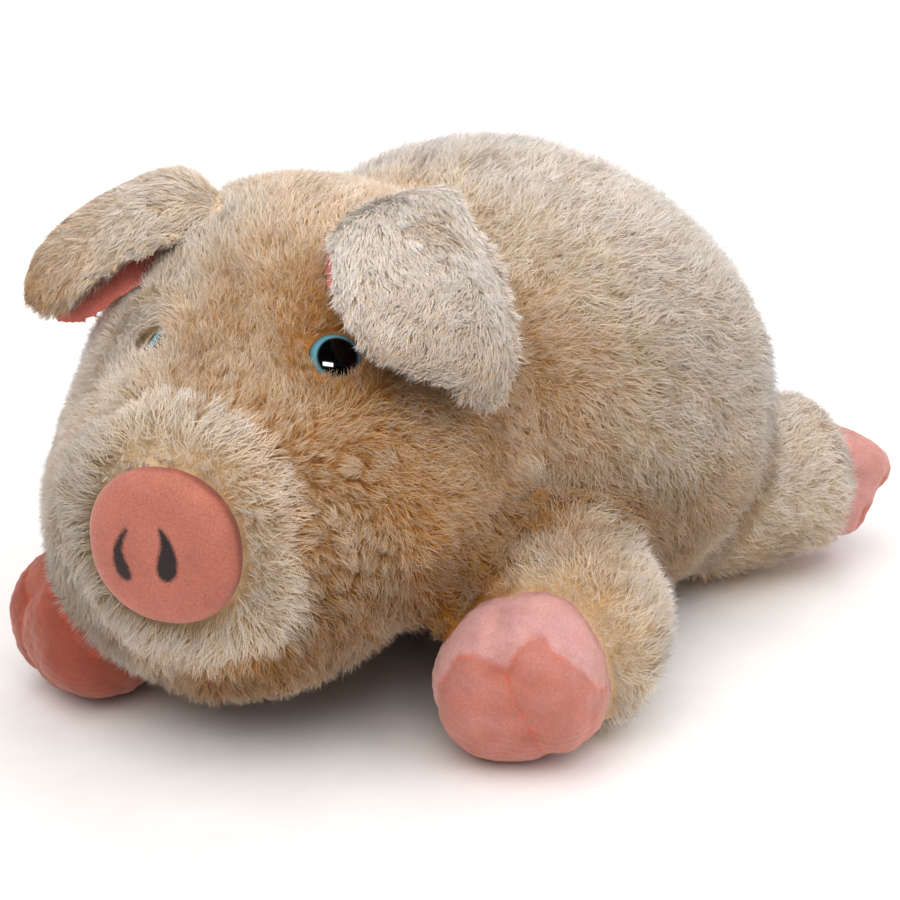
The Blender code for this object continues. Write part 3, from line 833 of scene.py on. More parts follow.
def golden_or_cream(where, owner):
    """Which cloth each point is cut from: -1 deep golden, 0 golden, 1 cream, 2 ivory.

    The deep golden on the shoulder, the foreleg under it, the chin and underside of the head,
    the cheek under the near ear, round the near eye, on the rump by the floor and in hollows
    is painted shade; the paler far side of the head, top of the back and neck spot are painted light.
    """
    face = local(FACE, where) / MM
    side, back, up = face.T
    muzzle = on_muzzle(face, 3 * drift(where, 0.02, 3))
    chin = ease(-up, 27, 34)
    far_side = ease(-side, 0, 26)
    near_side = 1 - far_side
    head = 0.05 + 0.75 * ease(up, 52, 73) + 0.9 * far_side
    head = head - 1.0 * under_ear_shade(where) * near_side * (1 - ease(up, 46, 60))
    head = head - 0.3 * ease(back, 25, 50) * (1 - ease(up, 20, 50)) * near_side
    head = head - 0.4 * ease(-up, 6, 26) - 0.22 * shade_round_eye(where) + 0.3 * neck_light_spot(where)
    nape = ease(back, 76, 100)
    head = head * (1 - nape) + (0.45 + 0.3 * far_side) * nape
    head = head * (1 - muzzle) + (0.92 + 0.06 * far_side - 0.4 * chin) * muzzle
    rear = ease(where[:, 1], -0.025, 0.022)
    top = ease(where[:, 2], 0.10, 0.148)
    torso = 0.15 + 0.9 * rear + 0.8 * ease(where[:, 1], 0.05, 0.11) + 0.3 * top
    torso = torso - 1.3 * shoulder_shade(where) + 0.22 * rear - 1.2 * low_rump_shade(where)
    hind, fore = 0.5 + 0.8 * ease(where[:, 2], 0.012, 0.042), 1.0 - foreleg_shade(where, 0.6, 1.4)
    legs = np.where(owner >= HINDLEGS[0], hind, fore)
    cream = np.where(owner == TORSO, torso, np.where(owner == HEAD, head, legs))
    return np.clip(cream - 0.4 * parted(where) + 0.14 * drift(where, 0.035, 5), -1, 2)


def pile_dye_and_painted_light(where, owner):
    """How light the pile is, mostly painted light and shade.

    Painted shade darkens the face below the crown, the underside of the head, the round of
    the near eye, the far side, the chin, the shoulder, the flank and rump by the floor, the
    foreleg under the shoulder and the hollows; painted light brightens the top of the back,
    the near side of the muzzle and a spot on the neck.
    """
    face = local(FACE, where) / MM
    side, back, up = face.T
    height = where[:, 2]
    muzzle = on_muzzle(face)
    far_side = ease(-side, 0, 26)
    head = 1.0 - 0.24 * (1 - ease(up, 56, 68)) * (1 - far_side) - 0.29 * ease(-up, 0, 26)
    head = head - 0.14 * shade_round_eye(where) - 0.1 * far_side + 0.24 * neck_light_spot(where)
    snout = 0.9 + 0.12 * ease(side, -5, 25) - 0.1 * ease(-up, 27, 33) - 0.24 * ease(-side, 14, 32)
    head = head + (0.84 - head) * ease(back, 82, 104) * (1 - ease(up, 50, 66))
    head = head * (1 - muzzle) + snout * muzzle
    torso = 0.8 + 0.18 * ease(height, 0.105, 0.148) - 0.34 * shoulder_shade(where)
    torso = torso - 0.05 * (1 - ease(height, 0.0, 0.03)) - 0.2 * low_rump_shade(where)
    foreleg = 0.93 - 0.06 * ease(height, 0.036, 0.054) - foreleg_shade(where, 0.19, 0.4)
    legs = np.where(owner >= HINDLEGS[0], 0.95, foreleg)
    light = np.where(owner == TORSO, torso, np.where(owner == HEAD, head, legs))
    return np.clip(light - 0.2 * parted(where), 0.4, 1.02)


print("muzzle reaches", float(on_muzzle(np.array([[0.0, 0.0, 30.0]]))[0]), "at 30 mm above the nose")

# %% Colour the skin and settle the forelegs, whose pile lies flatter on top
where, _ = places(skin)
skin_owner = part_of(where)
from_torso = np.array([part_trees["torso"].find_nearest(p)[3] for p in where])
settle = 0.0045 * ease(where[:, 2], 0.03, 0.05) * ease(from_torso, 0.0, 0.010)
where[:, 2] -= np.where(np.isin(skin_owner, FORELEGS), settle, 0)
move_to(skin, where)
paint(skin, "reach", 0.34 + 0.08 * drift(where, 0.006, 8))
# the same painted light and shade as on the strands
paint(skin, "shade", pile_dye_and_painted_light(where, skin_owner) + 0.04 * drift(where, 0.01, 9))
paint(skin, "panel", golden_or_cream(where, skin_owner))
backing = plush_material("plush_backing_cloth", 0.95, 0.22)
skin.data.materials.append(backing)
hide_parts(*FLESH)
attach(skin, "root")
print("parts of the skin", dict(zip(FLESH, np.bincount(skin_owner, minlength=6).tolist())))

# %% [markdown]
# ## Ears
# An ear is a flap of the same plush with a salmon velour lining, sewn together round the
# edge and hanging down. Copies of the two solids are pressed even. The plush flap is sunk
# by its thin pile, and both are drawn out at their root so that they run into the head.

# %% Ear flaps and linings
head_tree = tree_of(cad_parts["head"])
# how far each flap and each lining is moved from its solid, and the line from an ear's root to its tip
EAR_SHIFT = {"left": np.array(FACE.to_3x3() @ (Vector((-1.6, -0.6, 1.6)) * MM)), "right": np.zeros(3)}
LINING_SHIFT = {"left": np.array((-2.9, -1.3, 2.6)) * MM, "right": np.array((3.0, 1.0, -2.8)) * MM}
EAR_LINE = {"left": (on_face(27, 97, 73), on_face(68, 63, 27)),
            "right": (on_face(-24, 96, 72), on_face(-82, 70, 42))}
EAR_CLOTH = {"left": 1.5, "right": 0.9}             # the far flap is the more golden one; the near one is made paler as painted light
# painted light: the far lining, which lies in shade under its ear, gets a paler and redder velour than the
# near one
LINING_PAINTED_LIGHT, LINING_THREAD = {"left": 0.7, "right": 1.0}, {"left": 0.55, "right": 0.7}


def to_ear_tip(where, side):
    """0 on the root half of an ear, 1 at its tip."""
    root, tip = (np.array(p) for p in EAR_LINE[side])
    return ease((where - root) @ (tip - root) / ((tip - root) @ (tip - root)), 0.35, 1.0)


def build_ear(side):
    """The plush flap and the velour lining of one ear."""
    flap = merged_copy("ear_flap_" + side, "ear_" + side)
    lining = merged_copy("ear_lining_velour_" + side, "ear_lining_" + side)
    for thing, cell, depth in ((flap, 0.0014, 0.0021), (lining, 0.0009, 0.0)):
        bake_modifier(thing, "REMESH", mode="VOXEL", voxel_size=cell)
        keep_largest(thing)
        relax(thing, 3 if depth else 8)
        if depth:
            sink(thing, depth, 3)
        where, _ = places(thing)
        found = [head_tree.find_nearest(p) for p in where]
        gap = np.array([hit[3] for hit in found])
        inwards = -np.array([hit[1] for hit in found])
        inner = ease(local(FACE, where)[:, 2], 0.052, 0.062)
        draw_in = (1 - ease(gap, 0.001, 0.007)) * inner
        to_tip = 1 - 0.55 * ease(np.abs(local(FACE, where)[:, 0]), 0.055, 0.078)
        shift = EAR_SHIFT[side] + (LINING_SHIFT[side] * to_tip[:, None] if thing is lining else 0)
        if thing is lining and side == "left":      # its lower edge is drawn up under the flap
            low_edge = 0.12 * ease(local(FACE, where)[:, 0], 0.044, 0.058)
            shift = shift + (where.mean(axis=0) - where) * low_edge[:, None]
        move_to(thing, where + inwards * (draw_in * 0.007)[:, None] + shift)
    return flap, lining


ears, linings = {}, {}
for side in ("left", "right"):
    ears[side], linings[side] = build_ear(side)
    where, _ = places(ears[side])
    paint(ears[side], "reach", 0.45 + 0.1 * drift(where, 0.005, 18))
    # painted shade makes the backing darker and more golden towards the tip and in hollows
    paint(ears[side], "shade", 1.0 - 0.2 * parted(where) - 0.15 * to_ear_tip(where, side))
    paint(ears[side], "panel", EAR_CLOTH[side] - 0.5 * to_ear_tip(where, side) - 0.5 * parted(where))
    ears[side].data.materials.append(backing)
    where, _ = places(linings[side])
    paint(linings[side], "wear", np.full(len(where), LINING_PAINTED_LIGHT[side]))
    paint(linings[side], "thread", np.full(len(where), LINING_THREAD[side]))
    linings[side].data.materials.append(velour)
    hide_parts("ear_" + side)
    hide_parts("ear_lining_" + side)
    for thing in (ears[side], linings[side]):
        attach(thing, "root")
print("ear polygons", {k: len(v.data.polygons) for k, v in ears.items()})

# %% [markdown]
# ## Tail
# A thin stuffed tube of velour that leaves the rump and curls round once.

# %% Tail
tail = merged_copy("tail_velour", "tail")
bake_modifier(tail, "REMESH", mode="VOXEL", voxel_size=0.0007)
keep_largest(tail)
relax(tail, 4)
bake_modifier(tail, "SUBSURF", levels=1, render_levels=1)
where, _ = places(tail)
# the root goes into the rump, because the skin lies under the pile
rump = tree_of(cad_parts["torso"])
found = [rump.find_nearest(p) for p in where]
at_root = 1 - ease([hit[3] for hit in found], 0.001, 0.008)
move_to(tail, where - np.array([hit[1] for hit in found]) * (0.008 * at_root)[:, None])
paint(tail, "wear", 0.5 + 0.1 * drift(where, 0.01, 4))
tail.data.materials.append(velour)
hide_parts("tail")
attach(tail, "root")
print("tail polygons", len(tail.data.polygons))

# %% [markdown]
# ## Planting the pile
# Every strand grows from a point on a skin. The points are drawn at random in proportion to
# area, so no grid shows, with a seed so that each run gives the same toy. Points that would
# lie under a foot, the nose or an eye are left out.

# %% Tool: draw root points on a skin
def draw_roots(thing, count, weight, seed):
    """Random points on a mesh: places, normals and the vertex each lies nearest to."""
    draw = np.random.default_rng(seed)
    where, facing = places(thing)
    mesh = thing.data
    mesh.calc_loop_triangles()
    corners = np.empty(len(mesh.loop_triangles) * 3, int)
    mesh.loop_triangles.foreach_get("vertices", corners)
    corners = corners.reshape(-1, 3)
    a, b, c = (where[corners[:, k]] for k in range(3))
    area = np.linalg.norm(np.cross(b - a, c - a), axis=1) / 2
    share = area * weight[corners].mean(axis=1)
    chosen = draw.choice(len(corners), size=count, p=share / share.sum())
    s, t = draw.random(count), draw.random(count)
    flip = s + t > 1
    s[flip], t[flip] = 1 - s[flip], 1 - t[flip]
    mix = np.stack([1 - s - t, s, t], axis=1)[:, :, None]
    roots = (where[corners[chosen]] * mix).sum(axis=1)
    normals = unit((facing[corners[chosen]] * mix).sum(axis=1))
    nearest = corners[chosen, np.argmax(mix[:, :, 0], axis=1)]
    print(thing.name, "area mm2", round(float(area.sum()) / MM ** 2), "roots", count)
    return roots, normals, nearest


def clear_of(points, obstacles, margin):
    """True where a point is outside every obstacle by the margin."""
    free = np.ones(len(points), bool)
    for thing in obstacles:
        tree, close_by = near(points, thing, margin)
        for index in close_by[free[close_by]]:
            spot, normal, _, gap = tree.find_nearest(points[index])
            if gap < margin or (Vector(points[index]) - spot).dot(normal) < 0:
                free[index] = False
    return free


# %% [markdown]
# ## The lie of the pile
# Plush has a nap: on this toy it runs back over the body and down its sides, up and back
# over the forehead, down the cheeks, straight out from the nose, along the ears to their
# tips, and away from the feet. Slow random turns break the nap into brushed patches.

# %% Direction, lean and length at every root
LEG_NAMES = FLESH[2:]
BODY_PILE, FACE_PILE, LEG_PILE = 9.2, 7.8, 8.0      # length of the pile (mm)
BODY_LEAN, FACE_LEAN = 0.78, 0.74                   # lean from upright (radians)


def rim_gap(points):
    """Distance to the nearest foot or to the nose; the pile stands up beside them."""
    gap = np.full(len(points), 1.0)
    for thing in (*feet.values(), nose):
        tree, close_by = near(points, thing, 0.009)
        for index in close_by:
            gap[index] = min(gap[index], tree.find_nearest(points[index])[3])
    return gap


def in_skin(direction, normals):
    """The part of a direction that lies along the skin."""
    return direction - (direction * normals).sum(axis=1)[:, None] * normals


def swung(flow, normals, angle):
    """A direction along the skin, turned within it."""
    return flow * np.cos(angle)[:, None] + np.cross(normals, flow) * np.sin(angle)[:, None]


def leant(normals, flow, lean):
    """The upright, leant over towards a direction along the skin."""
    return normals * np.cos(lean)[:, None] + flow * np.sin(lean)[:, None]


def nap(roots, normals, owner):
    """Direction along the skin, lean from the upright (radians) and length (m) for each root."""
    face = local(FACE, roots) / MM
    turn = np.array(FACE.to_3x3()).T
    side, back, up = turn
    flow = np.tile([0.0, 1.0, 0.0], (len(roots), 1))
    flow[:, 2] = -1.15 * ease(1 - normals[:, 2], 0.25, 0.9)
    lean = np.full(len(roots), BODY_LEAN)
    long = np.full(len(roots), BODY_PILE)
    head = owner == HEAD
    crown = ease(face[:, 2], 12, 45)[:, None]
    cheek = np.sign(face[:, 0:1]) * side * 0.25 + back * 0.45 - up * 1.0
    forehead = back * 1.0 + up * 0.35 + np.sign(face[:, 0:1]) * side * 0.1
    ring = face * (1, 0, 1)
    from_nose = np.linalg.norm(face - (0, -4, 0), axis=1)
    muzzle = (1 - ease(from_nose, 33, 42))[:, None]
    outward = unit(ring) @ turn + back * 0.25
    flow = np.where(head[:, None], forehead * crown + cheek * (1 - crown), flow)
    flow = np.where(head[:, None], flow * (1 - muzzle) + outward * muzzle * 1.3, flow)
    chin = ease(-face[:, 2], 12, 34) * (1 - ease(face[:, 1], 30, 60))
    flow = flow - (head * chin)[:, None] * np.array([0.0, 0.0, 0.7])
    long[head] = (FACE_PILE + 5.0 * muzzle[:, 0] + 1.6 * chin)[head]
    lean[head] = (FACE_LEAN + 0.14 * muzzle[:, 0])[head]
    for index, name in enumerate(LEG_NAMES, FORELEGS[0]):
        mine = owner == index
        start, end = (np.array(p) for p in LEGS[name])
        axis = (start - end) / np.linalg.norm(start - end)
        apart = roots - end
        spread = apart - (apart @ axis)[:, None] * axis
        if "hind" in name:
            axis = -axis
        flow = np.where(mine[:, None], axis * 0.8 + unit(spread) * 0.5, flow)
        lean[mine], long[mine] = BODY_LEAN, LEG_PILE
    flow = unit(in_skin(flow, normals))
    bend = 0.55 * drift(roots, 0.045, 11) + 0.45 * drift(roots, 0.016, 12)
    flow = swung(flow, normals, bend)
    lean = lean + 0.16 * drift(roots, 0.022, 13)
    standing = 1 - ease(rim_gap(roots), 0.001, 0.008)
    lean, long = lean * (1 - 0.9 * standing), long * (1 - 0.12 * standing)
    over = head * standing * (1 - ease(np.abs(face[:, 0] + 9), 8, 14)) * ease(face[:, 2], 4, 12)
    flow = unit(flow * (1 - over)[:, None] - outward * over[:, None])
    lean = lean + 0.55 * over
    for eye, low_only in zip(EYES_AT, (True, False)):
        to_eye = eye - roots
        gap = np.linalg.norm(to_eye, axis=1)
        drawn = 1 - ease(gap, 0.011, 0.017 if low_only else 0.021)
        if low_only:
            drawn = drawn * ease(to_eye @ np.array((0, 0, 1.0)), -0.001, 0.004)
        toward = unit(in_skin(to_eye, normals))
        flow = unit(flow * (1 - drawn)[:, None] + toward * drawn[:, None])
        lean = lean * (1 - drawn) + 0.75 * drawn
    close = np.maximum(ease(near_eyes(roots), 0.009, 0.024), face[:, 0] < 0)
    long, lean = long * (0.66 + 0.34 * close), lean * (0.7 + 0.3 * close)
    return flow, lean, long * (1 - 0.45 * parted(roots)) * MM


# %% [markdown]
# ## Strands
# One strand is a closed spindle of six small faces: a point in the skin, three corners at
# its thickest place half way up, where it bends over, and a fine tip. Neighbours draw their
# tips together, first in locks two millimetres wide and then in tufts of some seven, which
# gives plush its broken look. A million corners are laid out as arrays, because making
# strands one by one would take hours.

# %% Tool: turn roots into a piece of coat
PATCH = 0.0015      # half the size of a strand's patch on the unwrap


def lock_together(roots, tips, share, pull, seed):
    """Draw the tips of near neighbours together; share is locks per strand."""
    draw = np.random.default_rng(seed)
    count = max(8, int(len(roots) * share))
    seeds = draw.choice(len(roots), size=min(count, len(roots)), replace=False)
    kd = KDTree(len(seeds))
    for index, root in enumerate(roots[seeds]):
        kd.insert(root, index)
    kd.balance()
    lock = np.array([kd.find(root)[1] for root in roots])
    size = np.bincount(lock, minlength=len(seeds))[lock][:, None]
    sums = [np.bincount(lock, tips[:, k], minlength=len(seeds))[lock] for k in range(3)]
    middle = np.stack(sums, axis=1) / size
    strength = (pull * draw.uniform(0.2, 1.5, len(seeds)))[lock][:, None]
    return tips + (middle - tips) * np.clip(strength, 0, 0.9), draw.normal(0, 1, len(seeds))[lock]


RING = 3                                            # corners round a strand's thickest place
SOFT = 0.88         # how far a strand is lit as the skin under it is, as light passes through fibres


def coat_piece(name, roots, normals, flow, lean, length, panel, light, unwrap, width, seed,
               pull=0.3, share=0.16, ruffle=1.0, lit=None, tipped=1.0):
    """Build one joined mesh of strands with its colours and its OFBake map.

    Ruffle is how untidy the strands are, lit holds the directions that light falls on where
    they differ from the skin's, and tipped is how far down a strand its pale tip reaches.
    """
    draw = np.random.default_rng(seed)
    count = len(roots)
    lean = np.clip(lean + draw.normal(0, 0.2 * ruffle, count), 0.02, 1.3)
    turn = draw.normal(0, 0.5 * ruffle, count)
    stray = draw.random(count) < 0.25 * ruffle      # loose fibres that cross the others
    turn[stray] *= 2.8
    flow = swung(flow, normals, turn)
    length = length * draw.uniform(0.75, 1.15, count)
    first, last = leant(normals, flow, lean * 0.6), leant(normals, flow, lean * 1.4)
    curl = np.cross(normals, flow) * draw.normal(0, 0.42 * ruffle, count)[:, None]
    base = roots - normals * 0.0006
    middle = base + unit(first - curl * 0.3) * (length * 0.5)[:, None]
    tips = middle + unit(last + curl) * (length * 0.55)[:, None]
    straight = tips
    tips, lock_shade = lock_together(roots, tips, share, pull, seed + 1)
    tips, tuft_shade = lock_together(roots, tips, 0.014, 0.7 * pull, seed + 2)
    middle = middle + (tips - straight) * 0.35
    axis = unit(tips - base)
    side = unit(np.cross(normals, axis) + draw.normal(0, 0.3, (count, 3)))
    rise = np.cross(axis, side)
    thick = width * draw.uniform(0.7, 1.25, count) * np.where(stray, 0.62, 1.0)
    rings = [base]
    for corner in range(RING):
        angle = 2 * math.pi * corner / RING + 0.5
        offset = side * math.cos(angle) + rise * math.sin(angle) * 0.7
        rings.append(middle + offset * (thick / 2)[:, None])
    points = np.stack([*rings, tips], axis=1)
    per = RING + 2
    points[:, :, 2] = np.maximum(points[:, :, 2], 0.0002)
    faces = []
    for j in range(RING):
        k = (j + 1) % RING
        faces += [(0, 1 + k, 1 + j), (1 + j, 1 + k, RING + 1)]
    corners = (np.arange(count)[:, None, None] * per + np.array(faces)[None]).reshape(-1)
    mesh = bpy.data.meshes.new(name)
    mesh.vertices.add(count * per)
    mesh.loops.add(len(corners))
    mesh.polygons.add(len(corners) // 3)
    mesh.vertices.foreach_set("co", points.astype(np.float32).ravel())
    mesh.loops.foreach_set("vertex_index", corners.astype(np.int32))
    mesh.polygons.foreach_set("loop_start", np.arange(0, len(corners), 3, dtype=np.int32))
    mesh.update(calc_edges=True)
    mesh.shade_smooth()
    thing = link(name, mesh, fibre)
    reach = np.array([0.0] + [0.5] * RING + [1.0])
    bleach = tipped * draw.uniform(0.8, 1.1, count) * np.where(stray, 1.2, 1.0)
    paint(thing, "reach", np.tile(reach, count) * np.repeat(bleach, per))
    own = np.empty(count * per * 3)
    mesh.vertices.foreach_get("normal", own)
    smooth = np.repeat(normals if lit is None else lit, per, axis=0)
    soft = unit(own.reshape(-1, 3) * (1 - SOFT) + smooth * SOFT)
    mesh.normals_split_custom_set_from_vertices(soft.tolist())
    mixed = np.clip(panel + draw.normal(0, 0.14, count) + 0.08 * tuft_shade + 0.45 * stray, -1, 2)
    paint(thing, "panel", np.repeat(mixed, per))
    # light brings the painted light and shade of each root; the rest varies by strand, lock and tuft
    shade = light + draw.normal(0, 0.075, count) + 0.035 * lock_shade + 0.035 * tuft_shade
    shade = np.clip(shade, 0.3, 1.16)
    paint(thing, "shade", np.repeat(shade, per))
    patch_at = np.array([(0, -1), (-1, 0), (1, 0), (0, 0), (0, 1)]) * PATCH
    patch = unwrap[:, None, :] + patch_at[None]
    layer = mesh.uv_layers.new(name="OFBake")
    layer.data.foreach_set("uv", patch.reshape(-1, 2)[corners].astype(np.float32).ravel())
    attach(thing, "root")
    return thing, len(corners) // 3


def around(roots, origin, axis, up):
    """An unwrap as of a tin's label: angle round an axis, and distance along it."""
    axis = np.array(Vector(axis).normalized())
    across = unit(np.cross(axis, np.array(up, float))[None])[0]
    over = np.cross(across, axis)
    apart = roots - np.array(origin)
    angle = np.arctan2(apart @ across, apart @ over) / (2 * math.pi) + 0.5
    far = apart @ axis
    far = (far - far.min()) / max(1e-6, far.max() - far.min())
    return np.stack([0.02 + 0.96 * angle, 0.02 + 0.96 * far], axis=1)


# %% [markdown]
# ## The coat
# Body, head and legs take their roots from the one skin, split by the part that they lie
# on, so that each piece of coat stays under two hundred thousand triangles. The side that
# faces the room gets a few more strands than the belly, which lies on the floor.

# %% Coat of the body, head and legs
obstacles = [*feet.values(), nose, *eyes.values()]
TO_CAMERA = np.array(-forward)
where, facing = places(skin)
density = np.where(where[:, 2] < 0.012, 0.35, 1.0) * np.where(skin_owner == HEAD, 1.4, 1.0)
density *= 0.55 + ease(facing @ TO_CAMERA, -0.3, 0.3)
STRANDS = 226000
roots, normals, nearest = draw_roots(skin, STRANDS, density, 101)
free = clear_of(roots, obstacles, 0.0004)
face = local(FACE, roots) / MM
behind_nose = (face[:, 1] < 12) & (np.hypot(face[:, 0] + 0.4, face[:, 2] + 2.1) < 22.4)
free &= ~(behind_nose & (skin_owner[nearest] == HEAD))
roots, normals, owner = roots[free], normals[free], skin_owner[nearest[free]]
flow, lean, length = nap(roots, normals, owner)
# the cloth and the painted light and shade at each root
panel, light = golden_or_cream(roots, owner), pile_dye_and_painted_light(roots, owner)
face = local(FACE, roots) / MM
BODY_MIDDLE = (-0.006, 0.023, 0.07)
body = local(Matrix.Translation(BODY_MIDDLE), roots)
on_head, on_torso = owner == HEAD, owner == TORSO
GROUPS = {
    "coat_muzzle": on_head & (face[:, 1] < 30) & (face[:, 0] < 5),
    "coat_muzzle_left": on_head & (face[:, 1] < 30) & (face[:, 0] >= 5),
    "coat_forehead": on_head & (face[:, 1] >= 30) & (face[:, 1] < 62) & (face[:, 2] > 25),
    "coat_crown": on_head & (face[:, 1] >= 62) & (face[:, 2] > 25),
    "coat_cheeks": on_head & (face[:, 1] >= 30) & (face[:, 2] <= 25),
    "coat_back": on_torso & (body[:, 2] > 0.045),
    "coat_flank_left": on_torso & (body[:, 2] <= 0.045) & (body[:, 0] > 0),
    "coat_flank_right": on_torso & (body[:, 2] <= 0.045) & (body[:, 0] <= 0),
}
for index, name in enumerate(LEG_NAMES, FORELEGS[0]):
    GROUPS["coat_" + name] = owner == index


def unwrap_for(name, chosen):
    """The tin-label unwrap round the part that a piece of coat covers."""
    points = roots[chosen]
    if name in ("coat_muzzle", "coat_muzzle_left", "coat_forehead", "coat_crown", "coat_cheeks"):
        return around(points, on_face(0, 60, 5), FACE.to_3x3() @ Vector((0, 1, 0)), (0, 0, 1))
    if name.replace("coat_", "") in LEGS:
        start, end = LEGS[name.replace("coat_", "")]
        return around(points, start, end - start, (0, 0, 1))
    return around(points, BODY_MIDDLE, (0, 1, 0), (0, 0, 1))


# %% Obstruction: strands that would cross an ear, the nose or a foot are cut short
def trimmed(roots, normals, flow, lean, length, things, keep=0.8):
    """Shorten strands that run into something."""
    ahead = unit(leant(normals, flow, lean))
    length = length.copy()
    for thing in things:
        tree, close_by = near(roots, thing, 0.012)
        for index in close_by:
            _, _, _, gap = tree.ray_cast(roots[index], ahead[index], length[index] * 1.1)
            if gap is not None:
                length[index] = max(0.001, gap * keep)
    return length


THIN, THICK = 0.29 * MM, 0.46 * MM                  # a strand stands for the few real fibres of one bundle
PULL = {"coat_muzzle": (0.55, 0.07), "coat_muzzle_left": (0.55, 0.07), "coat_cheeks": (0.38, 0.12)}
in_the_way = [*ears.values(), *linings.values(), *feet.values(), nose]
length = trimmed(roots, normals, flow, lean, length, in_the_way)
width = THICK + (THIN - THICK) * ease(normals @ TO_CAMERA, -0.3, 0.3)
total = 0
for number, (name, chosen) in enumerate(GROUPS.items()):
    pull, share = PULL.get(name, (0.3, 0.16))
    mine = [each[chosen] for each in (roots, normals, flow, lean, length, panel, light)]
    thing, triangles = coat_piece(name, *mine, unwrap_for(name, chosen), width[chosen],
                                  200 + 7 * number, pull, share)
    total += triangles
    print(name, triangles)
print("coat triangles so far", total)

# %% [markdown]
# ## The coat of the ears
# The pile lies along each ear to its tip, on the outer side and wherever the lining leaves
# the flap open. What the lining covers stays bare.

# %% Coat of the ears
EAR_STRANDS, EAR_PILE, EAR_LEAN = {"left": 29000, "right": 21000}, 7.0, 1.08     # roots, mm, radians
for number, side in enumerate(("left", "right")):
    flap, lining_tree = ears[side], tree_of(linings[side])
    where, facing = places(flap)
    points, normals_e, _ = draw_roots(flap, EAR_STRANDS[side],
                                      0.6 + ease(facing @ TO_CAMERA, -0.3, 0.3), 301 + number)
    free = clear_of(points, [skin], -0.0005)
    found = [lining_tree.find_nearest(p) for p in points]
    towards = unit(np.array([hit[0] for hit in found]) - points)
    gap = np.array([hit[3] for hit in found])
    free &= ~((gap < 0.0035) & ((towards * normals_e).sum(axis=1) > 0.6))
    lining_middle = places(linings[side])[0].mean(axis=0)
    out_of_ear = unit((where.mean(axis=0) - lining_middle + LINING_SHIFT[side])[None])[0]
    free &= (normals_e @ out_of_ear > -0.1) | (gap > 0.0032)
    points, normals_e = points[free], normals_e[free]
    root, tip = (np.array(p) for p in EAR_LINE[side])
    run = tip - root
    along_ear = run / np.linalg.norm(run)
    off = points - root
    off = off - (off @ along_ear)[:, None] * along_ear
    outward = ease(np.linalg.norm(off, axis=1), 0.005, 0.018)[:, None] * unit(off)
    flow_e = along_ear * 0.8 + outward * 0.9
    flow_e = unit(in_skin(flow_e, normals_e))
    bend = 0.35 * drift(points, 0.03, 31) + 0.3 * drift(points, 0.012, 32)
    flow_e = swung(flow_e, normals_e, bend)
    lean_e = np.full(len(points), EAR_LEAN) + 0.12 * drift(points, 0.02, 33)
    length_e = EAR_PILE * MM * (1 - 0.4 * parted(points))
    normals_e = unit(normals_e + 0.5 * out_of_ear)
    length_e = trimmed(points, normals_e, flow_e, lean_e, length_e, [linings[side]])
    # a strand that the lining would cut to a stub isn't planted
    whole = length_e > 2.6 * MM
    planted = (each[whole] for each in (points, normals_e, flow_e, lean_e, length_e))
    points, normals_e, flow_e, lean_e, length_e = planted
    far_side = 0.5 if side == "right" else 0.0      # the far ear is the more golden one, and painted shade makes it darker
    low_half = to_ear_tip(points, side)
    # painted shade makes the pile darker and more golden towards the tip and in hollows; the near ear's
    # pale pile and paler tips are painted light
    panel_e = 1.18 - 0.6 * far_side - (0.7 + 0.5 * far_side) * low_half
    panel_e = np.clip(panel_e + 0.15 * drift(points, 0.03, 35) - 0.7 * parted(points), -0.5, 2)
    light_e = 1.07 - 0.1 * far_side - 0.2 * low_half - 0.14 * parted(points)
    # light passes through the thin flap, so its pile is lit as if it faced further up
    lit = unit(normals_e + 0.4 * out_of_ear + np.array((0.0, 0.0, 0.6)))
    label = around(points, root, run, (0, 0, 1))
    thing, triangles = coat_piece("coat_ear_" + side, points, normals_e, flow_e, lean_e, length_e, panel_e,
                                  light_e, label, np.full(len(points), 0.82 * THIN), 320 + number, 0.35,
                                  ruffle=0.65, lit=lit, tipped=1.3 - 0.4 * far_side)
    total += triangles
print("coat triangles", total)

# %% [markdown]
# ## Floor and light
# A plain pale floor, big soft panels above, beside, behind and in front, and a small
# window-shaped light whose only job is the glint in the eye. The one above is strongest.

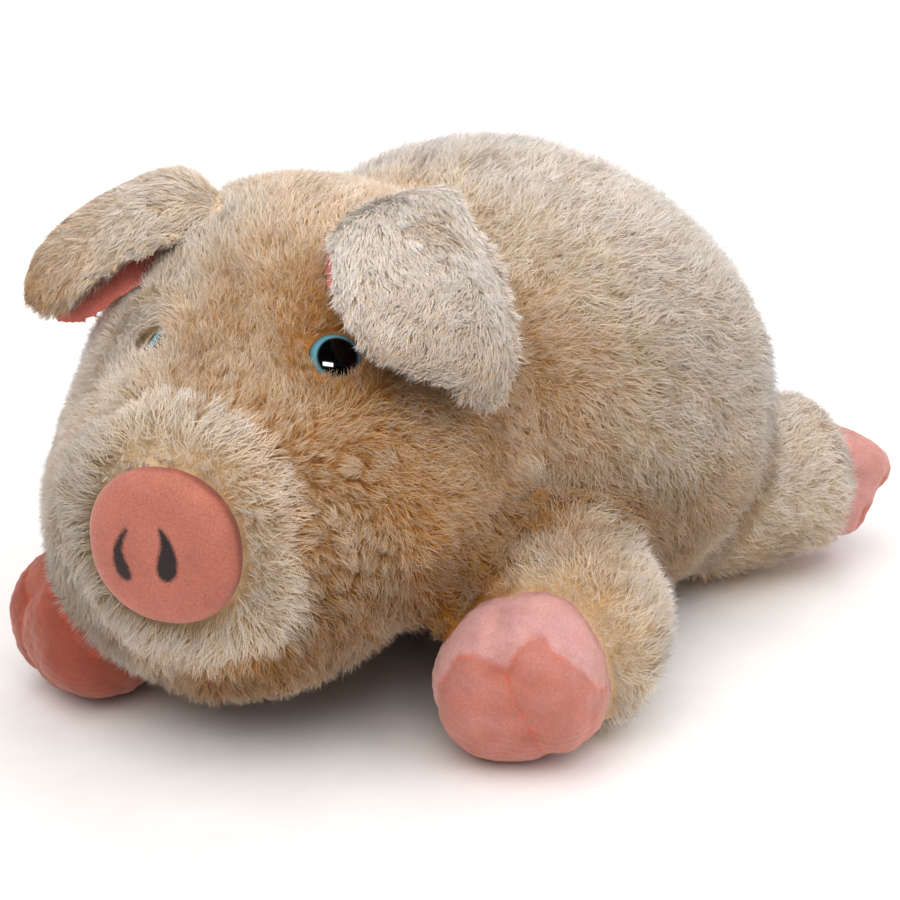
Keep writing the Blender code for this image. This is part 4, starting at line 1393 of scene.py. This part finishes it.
# %% Floor
floor_finish, floor_shader = new_material("matt_white_paper", Roughness=0.9)
floor_place = add_node(floor_finish, "TexCoord")
paper = add_node(floor_finish, "TexNoise", {"Vector": (floor_place, "Object"), "Scale": 60, "Detail": 4.0})
paper_tone = ramp(floor_finish, (paper, "Fac"), [(0.3, "#f3f2f0"), (0.7, "#f8f7f6")])
wire(floor_finish, paper_tone, "Color", floor_shader, "Base Color")
bm = bmesh.new()
bmesh.ops.create_grid(bm, x_segments=2, y_segments=2, size=6.0)
floor = piece_from("paper_floor", bm, floor_finish)


# %% Lights
def aimed(name, data, azimuth, elevation, far):
    """Hang a light and turn it to the toy. Azimuth 0 is in front of its nose, 90 on its left."""
    lamp = bpy.data.objects.new(name, data)
    bpy.context.scene.collection.objects.link(lamp)
    a, e = math.radians(azimuth), math.radians(elevation)
    towards = Vector((math.sin(a) * math.cos(e), -math.cos(a) * math.cos(e), math.sin(e)))
    lamp.location = Vector((0, 0, 0.07)) + towards * far
    lamp.rotation_euler = towards.to_track_quat("Z", "Y").to_euler()
    return lamp


def sky_panel(name, azimuth, elevation, spread, strength, colour):
    """A very large soft panel far away, so that toy and floor get the same light everywhere."""
    data = bpy.data.lights.new(name, "SUN")
    data.angle, data.energy, data.color = math.radians(spread), strength, hue(colour)[:3]
    lamp = aimed(name, data, azimuth, elevation, 3.0)
    lamp.visible_glossy = False                     # the eyes mirror one small window only
    return lamp


sky_panel("panel_above", 110, 80, 70, 0.8, "#fbfbff")
sky_panel("panel_beside", 120, 40, 50, 0.85, "#fbfbff")
sky_panel("panel_behind", 200, 45, 50, 0.8, "#fbfbff")
sky_panel("panel_front", 35, 45, 50, 0.45, "#fff8f0")
sky_panel("panel_over_front", 20, 65, 60, 1.2, "#fffaf4")
sky_panel("panel_over_far_side", -35, 60, 60, 0.55, "#fbfbff")
window = bpy.data.lights.new("eye_glint_window", "AREA")
window.shape, window.size, window.size_y, window.energy = "RECTANGLE", 0.60, 0.22, 11
aimed("eye_glint_window", window, 31, 34, 1.2).visible_diffuse = False
world = bpy.data.worlds.new("studio")
bpy.context.scene.world = world
world.use_nodes = True
world.node_tree.nodes["Background"].inputs["Color"].default_value = hue("#fdfdff")
world.node_tree.nodes["Background"].inputs["Strength"].default_value = 0.18
world.cycles_visibility.glossy = False
bpy.context.scene.view_settings.view_transform = "Standard"
print("lights ready")
